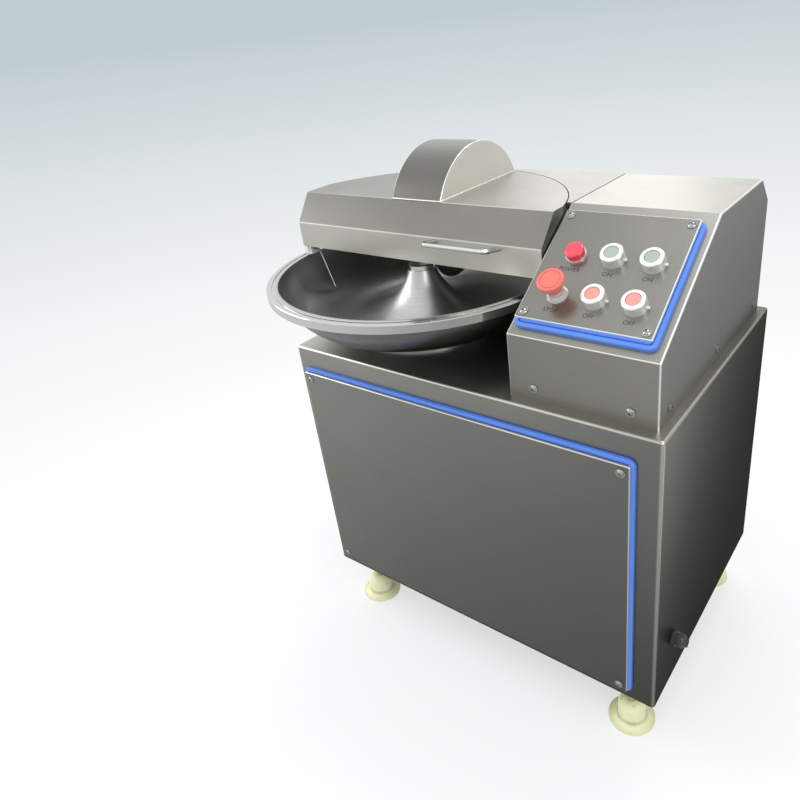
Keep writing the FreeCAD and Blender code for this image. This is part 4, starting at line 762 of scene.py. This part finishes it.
class BOWLCUTTER_OT_welds(PieceOperator, bpy.types.Operator):
    """Weld bead round the foot of the knife guard"""

    bl_idname = "bowl_cutter.welds"
    bl_label = "Weld beads"

    def execute(self, context):
        trim = context.scene.bowl_cutter_trim
        low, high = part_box("knife_dome")
        material = metal("weld_metal", (0.86, 0.84, 0.80), 0.3, 0.6)
        inset = trim.weld_width * WELD_INSET
        left, right, front, back = low.x + inset, high.x - inset, low.y + inset, high.y - inset
        corners = ((left, back), (left, front), (right, front), (right, back))
        mesh = bead([Vector((x, y, low.z)) for x, y in corners], trim.weld_width / 2, trim.weld_ripple)
        piece("guard_weld", mesh, material, "lid")
        return {"FINISHED"}


def bead_rings(form, corners, radius, ripple):
    """Half rings of points along straight runs, which swell and shrink with each ripple."""
    rings = []
    for start, end in zip(corners, corners[1:]):
        length = (end - start).length
        along = (end - start).normalized()
        side = along.cross(Vector((0, 0, 1)))
        steps = max(2, round(length / ripple * RIPPLE_STEPS))
        for k in range(steps + 1):
            phase = (k / RIPPLE_STEPS) % 1.0
            size = radius * (BEAD_THIN + BEAD_SWELL * math.sin(math.pi * phase))
            centre = start + along * (length * k / steps)
            ring = []
            for j in range(BEAD_SIDES + 1):
                angle = math.pi * j / BEAD_SIDES
                rise = Vector((0, 0, size * math.sin(angle)))
                ring.append(form.verts.new(centre + side * (size * math.cos(angle)) + rise))
            rings.append(ring)
    return rings


def bead(corners, radius, ripple):
    """Rippled bead along straight runs: short scales that overlap like a row of coins."""
    form = bmesh.new()
    rings = bead_rings(form, corners, radius, ripple)
    for first, second in zip(rings, rings[1:]):
        for j in range(BEAD_SIDES):
            form.faces.new((first[j], second[j], second[j + 1], first[j + 1]))
    form.faces.new(rings[0])
    form.faces.new(list(reversed(rings[-1])))
    bmesh.ops.recalc_face_normals(form, faces=form.faces)
    mesh = bpy.data.meshes.new("bead")
    form.to_mesh(mesh)
    form.free()
    mesh.shade_smooth()
    return mesh


class BOWLCUTTER_OT_feet(PieceOperator, bpy.types.Operator):
    """Nylon of the feet and the dark cable gland"""

    bl_idname = "bowl_cutter.feet"
    bl_label = "Feet and gland"

    def execute(self, context):
        colours = context.scene.bowl_cutter_colours
        nylon = plastic("ivory_nylon", colours.foot, 0.42, 0.1)
        self.add_stains_and_crease_shade(nylon, colours.dirt_and_shade)
        steel = metal("stud_steel", (0.55, 0.53, 0.49), 0.3)
        feet = ("foot_front_left", "foot_front_right", "foot_rear_left", "foot_rear_right")
        dress(nylon, *feet)
        for name in feet:
            self.plate_stud(name, steel)
        dress(plastic("gland_plastic", colours.gland, 0.4), "cable_gland")
        return {"FINISHED"}

    def add_stains_and_crease_shade(self, material, dirt_and_shade):
        """Brown specks of dirt on the nylon, and dirt with painted shade in the crease under the hub."""
        tree = material.node_tree
        shader = tree.nodes["Principled BSDF"]
        plain = shader.inputs["Base Color"].links[0].from_socket
        place = add(tree, "ShaderNodeTexCoord").outputs["Object"]
        # Painted shade, mixed with dirt, in the crease under the hub
        above = math_node(tree, "SUBTRACT", split(tree, place)["Z"], HUB_CREASE)
        off = math_node(tree, "DIVIDE", math_node(tree, "ABSOLUTE", above), CREASE_REACH)
        crease = math_node(tree, "SUBTRACT", 1.0, off, True)
        patchy = noise(tree, place, STAIN_SCALE, 4.0, 0.65)
        specks = math_node(tree, "SUBTRACT", patchy, STAIN_FLOOR, True)
        specks = math_node(tree, "MULTIPLY", specks, STAIN_GAIN, True)
        crease_dirt_and_shade = math_node(tree, "MULTIPLY", crease, patchy)
        crease_dirt_and_shade = math_node(tree, "MULTIPLY", crease_dirt_and_shade, CREASE_GAIN, True)
        cover = math_node(tree, "MAXIMUM", specks, crease_dirt_and_shade)
        tree.links.new(blend_colour(tree, cover, plain, rgba(dirt_and_shade)), shader.inputs["Base Color"])

    def plate_stud(self, name, steel):
        """Gives a foot's stud and nut their steel: every face above the top of the cup's hub."""
        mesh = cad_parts[name].data
        mesh.materials.append(steel)
        hub_top = self.hub_top(mesh)
        for face in mesh.polygons:
            if face.center.z > hub_top:
                face.material_index = 1

    def hub_top(self, mesh):
        """Height of the cup's hub, the top of the solid that stands on the floor."""
        form = bmesh.new()
        form.from_mesh(mesh)
        bmesh.ops.remove_doubles(form, verts=form.verts, dist=MERGE_DISTANCE)
        base = min(form.verts, key=lambda vertex: vertex.co.z)
        seen, edge = {base}, [base]
        while edge:
            vertex = edge.pop()
            for link in vertex.link_edges:
                other = link.other_vert(vertex)
                if other not in seen:
                    seen.add(other)
                    edge.append(other)
        top = max(vertex.co.z for vertex in seen)
        form.free()
        return top


class BOWLCUTTER_OT_drives(PieceOperator, bpy.types.Operator):
    """Finishes of both drives, the knives and the screws"""

    bl_idname = "bowl_cutter.drives"
    bl_label = "Drives and knives"

    def execute(self, context):
        steel = context.scene.bowl_cutter_steel
        dress(metal("ground_steel", (0.62, 0.62, 0.62), 0.25), "bowl_shaft", "worm_shaft", "knife_shaft",
              "motor_shaft", "bowl_bearings", "spindle_bearings", "knife_spacers", "knife_nut",
              "spindle_bearing_housing", "spindle_frame")
        dress(metal("knife_steel", (0.75, 0.75, 0.75), 0.16), "knives")
        dress(metal("cast_paint", (0.12, 0.17, 0.22), 0.5, 0.1), "bowl_motor", "knife_motor",
              "gearbox_housing", "gearbox_cover", "bowl_bearing_housing")
        dress(metal("cast_iron", (0.22, 0.22, 0.22), 0.45, 0.8), "spindle_pulley", "motor_pulley")
        dress(metal("worm_bronze", (0.62, 0.40, 0.16), 0.3), "worm_wheel")
        dress(plastic("black_rubber", (0.02, 0.02, 0.02), 0.6), "v_belts", "bowl_shaft_seal")
        # Painted dark reflections at the edges of the screws
        dress(outlined_metal("screw_steel", (0.45, 0.45, 0.43), 0.15, 0.01), "cover_screws")
        return {"FINISHED"}


class BOWLCUTTER_OT_stage(PieceOperator, bpy.types.Operator):
    """Floor, lights and camera"""

    bl_idname = "bowl_cutter.stage"
    bl_label = "Stage"

    def execute(self, context):
        stage = context.scene.bowl_cutter_stage
        self.make_floor(stage)
        self.make_lights()
        self.make_camera(context, stage)
        context.scene.view_settings.view_transform = "Standard"
        return {"FINISHED"}

    def make_floor(self, stage):
        reach = stage.floor_reach
        mesh = bpy.data.meshes.new("floor")
        corners = [(-reach, -reach, 0), (reach, -reach, 0), (reach, reach, 0), (-reach, reach, 0)]
        mesh.from_pydata(corners, [], [(0, 1, 2, 3)])
        floor = bpy.data.objects.new("floor", mesh)
        bpy.context.scene.collection.objects.link(floor)
        material, tree, shader = new_material("pale_floor")
        skin = place_group(tree, "Moulded skin", Scale=3.0, Clouds=0.02)
        tree.links.new(toned(tree, stage.floor, skin.outputs["Tone"]), shader.inputs["Base Color"])
        shader.inputs["Roughness"].default_value = 0.6
        distance = add(tree, "ShaderNodeVectorMath", operation="LENGTH")
        tree.links.new(add(tree, "ShaderNodeTexCoord").outputs["Object"], distance.inputs[0])
        fade = rescale(tree, distance.outputs["Value"], (FLOOR_FADE_STARTS, reach), (FLOOR_STRENGTH, 0.0))
        tree.links.new(fade, shader.inputs["Alpha"])
        mesh.materials.append(material)
        self.make_world(stage)

    def make_world(self, stage):
        """Soft room light, brighter from above and the left; the camera sees a plain backdrop."""
        world = bpy.data.worlds.new("studio")
        bpy.context.scene.world = world
        world.use_nodes = True
        tree = world.node_tree
        background = tree.nodes["Background"]
        way = add(tree, "ShaderNodeTexCoord").outputs["Generated"]
        level = rescale(tree, dot(tree, way, LIGHT_WAY), ROOM_RANGE, ROOM_LEVELS, smooth=False)
        room = toned(tree, ROOM_COLOUR, level)
        height = math_node(tree, "MULTIPLY", split(tree, way)["Z"], BACKDROP_RISE)
        rise = math_node(tree, "POWER", math_node(tree, "ADD", height, 1.0, True), BACKDROP_CURVE)
        shade = blend_colour(tree, rise, (1.0, 1.0, 1.0, 1.0), rgba(stage.backdrop))
        seen = add(tree, "ShaderNodeLightPath").outputs["Is Camera Ray"]
        tree.links.new(blend_colour(tree, seen, room, shade), background.inputs["Color"])
        background.inputs["Strength"].default_value = 1.0

    def make_lights(self):
        for name, place, size, power in LIGHTS:
            light = bpy.data.lights.new(name, "AREA")
            light.energy = power
            light.size = size
            lamp = bpy.data.objects.new(name, light)
            bpy.context.scene.collection.objects.link(lamp)
            lamp.location = place
            lamp.visible_camera = False
            aim = Vector((CENTRE_AXIS.x, CENTRE_AXIS.y, AIM_HEIGHT)) - lamp.location
            lamp.rotation_euler = aim.to_track_quat("-Z", "Y").to_euler()

    def make_camera(self, context, stage):
        data = bpy.data.cameras.new("camera")
        data.lens = stage.lens
        data.sensor_width = stage.sensor
        data.shift_x = stage.shift_x
        data.shift_y = stage.shift_y
        camera = bpy.data.objects.new("camera", data)
        context.scene.collection.objects.link(camera)
        level = math.cos(stage.tilt)
        ahead = Vector((-level * math.sin(stage.turn), level * math.cos(stage.turn), -math.sin(stage.tilt)))
        turn = ahead.to_track_quat("-Z", "Y").to_matrix().to_4x4()
        camera.matrix_world = Matrix.Translation(stage.place) @ turn @ Matrix.Rotation(-stage.roll, 4, "Z")
        context.scene.camera = camera


OPERATORS = (BOWLCUTTER_OT_stage, BOWLCUTTER_OT_cabinet, BOWLCUTTER_OT_housings, BOWLCUTTER_OT_bowl,
             BOWLCUTTER_OT_lid, BOWLCUTTER_OT_welds, BOWLCUTTER_OT_seals, BOWLCUTTER_OT_switches,
             BOWLCUTTER_OT_marks, BOWLCUTTER_OT_feet, BOWLCUTTER_OT_drives)
SETTINGS = {"bowl_cutter_steel": SteelSettings, "bowl_cutter_colours": ColourSettings,
            "bowl_cutter_trim": TrimSettings, "bowl_cutter_stage": StageSettings}


class BOWLCUTTER_PT_panel(bpy.types.Panel):
    """Lists every piece's operator and the settings"""

    bl_idname = "BOWLCUTTER_PT_panel"
    bl_label = "Bowl Cutter"
    bl_space_type = "VIEW_3D"
    bl_region_type = "UI"
    bl_category = "Bowl Cutter"

    def draw(self, context):
        for operator in OPERATORS:
            self.layout.operator(operator.bl_idname)
        for settings_name, settings in SETTINGS.items():
            group = getattr(context.scene, settings_name)
            for name in settings.__annotations__:
                self.layout.prop(group, name)


def register():
    for cls in (*SETTINGS.values(), *OPERATORS, BOWLCUTTER_PT_panel):
        bpy.utils.register_class(cls)
    for name, settings in SETTINGS.items():
        setattr(bpy.types.Scene, name, PointerProperty(type=settings))


def unregister():
    for name in SETTINGS:
        delattr(bpy.types.Scene, name)
    for cls in reversed((*SETTINGS.values(), *OPERATORS, BOWLCUTTER_PT_panel)):
        bpy.utils.unregister_class(cls)


def main():
    register()
    for operator in OPERATORS:
        category, name = operator.bl_idname.split(".")
        getattr(getattr(bpy.ops, category), name)()


if __name__ == "__main__":
    main()
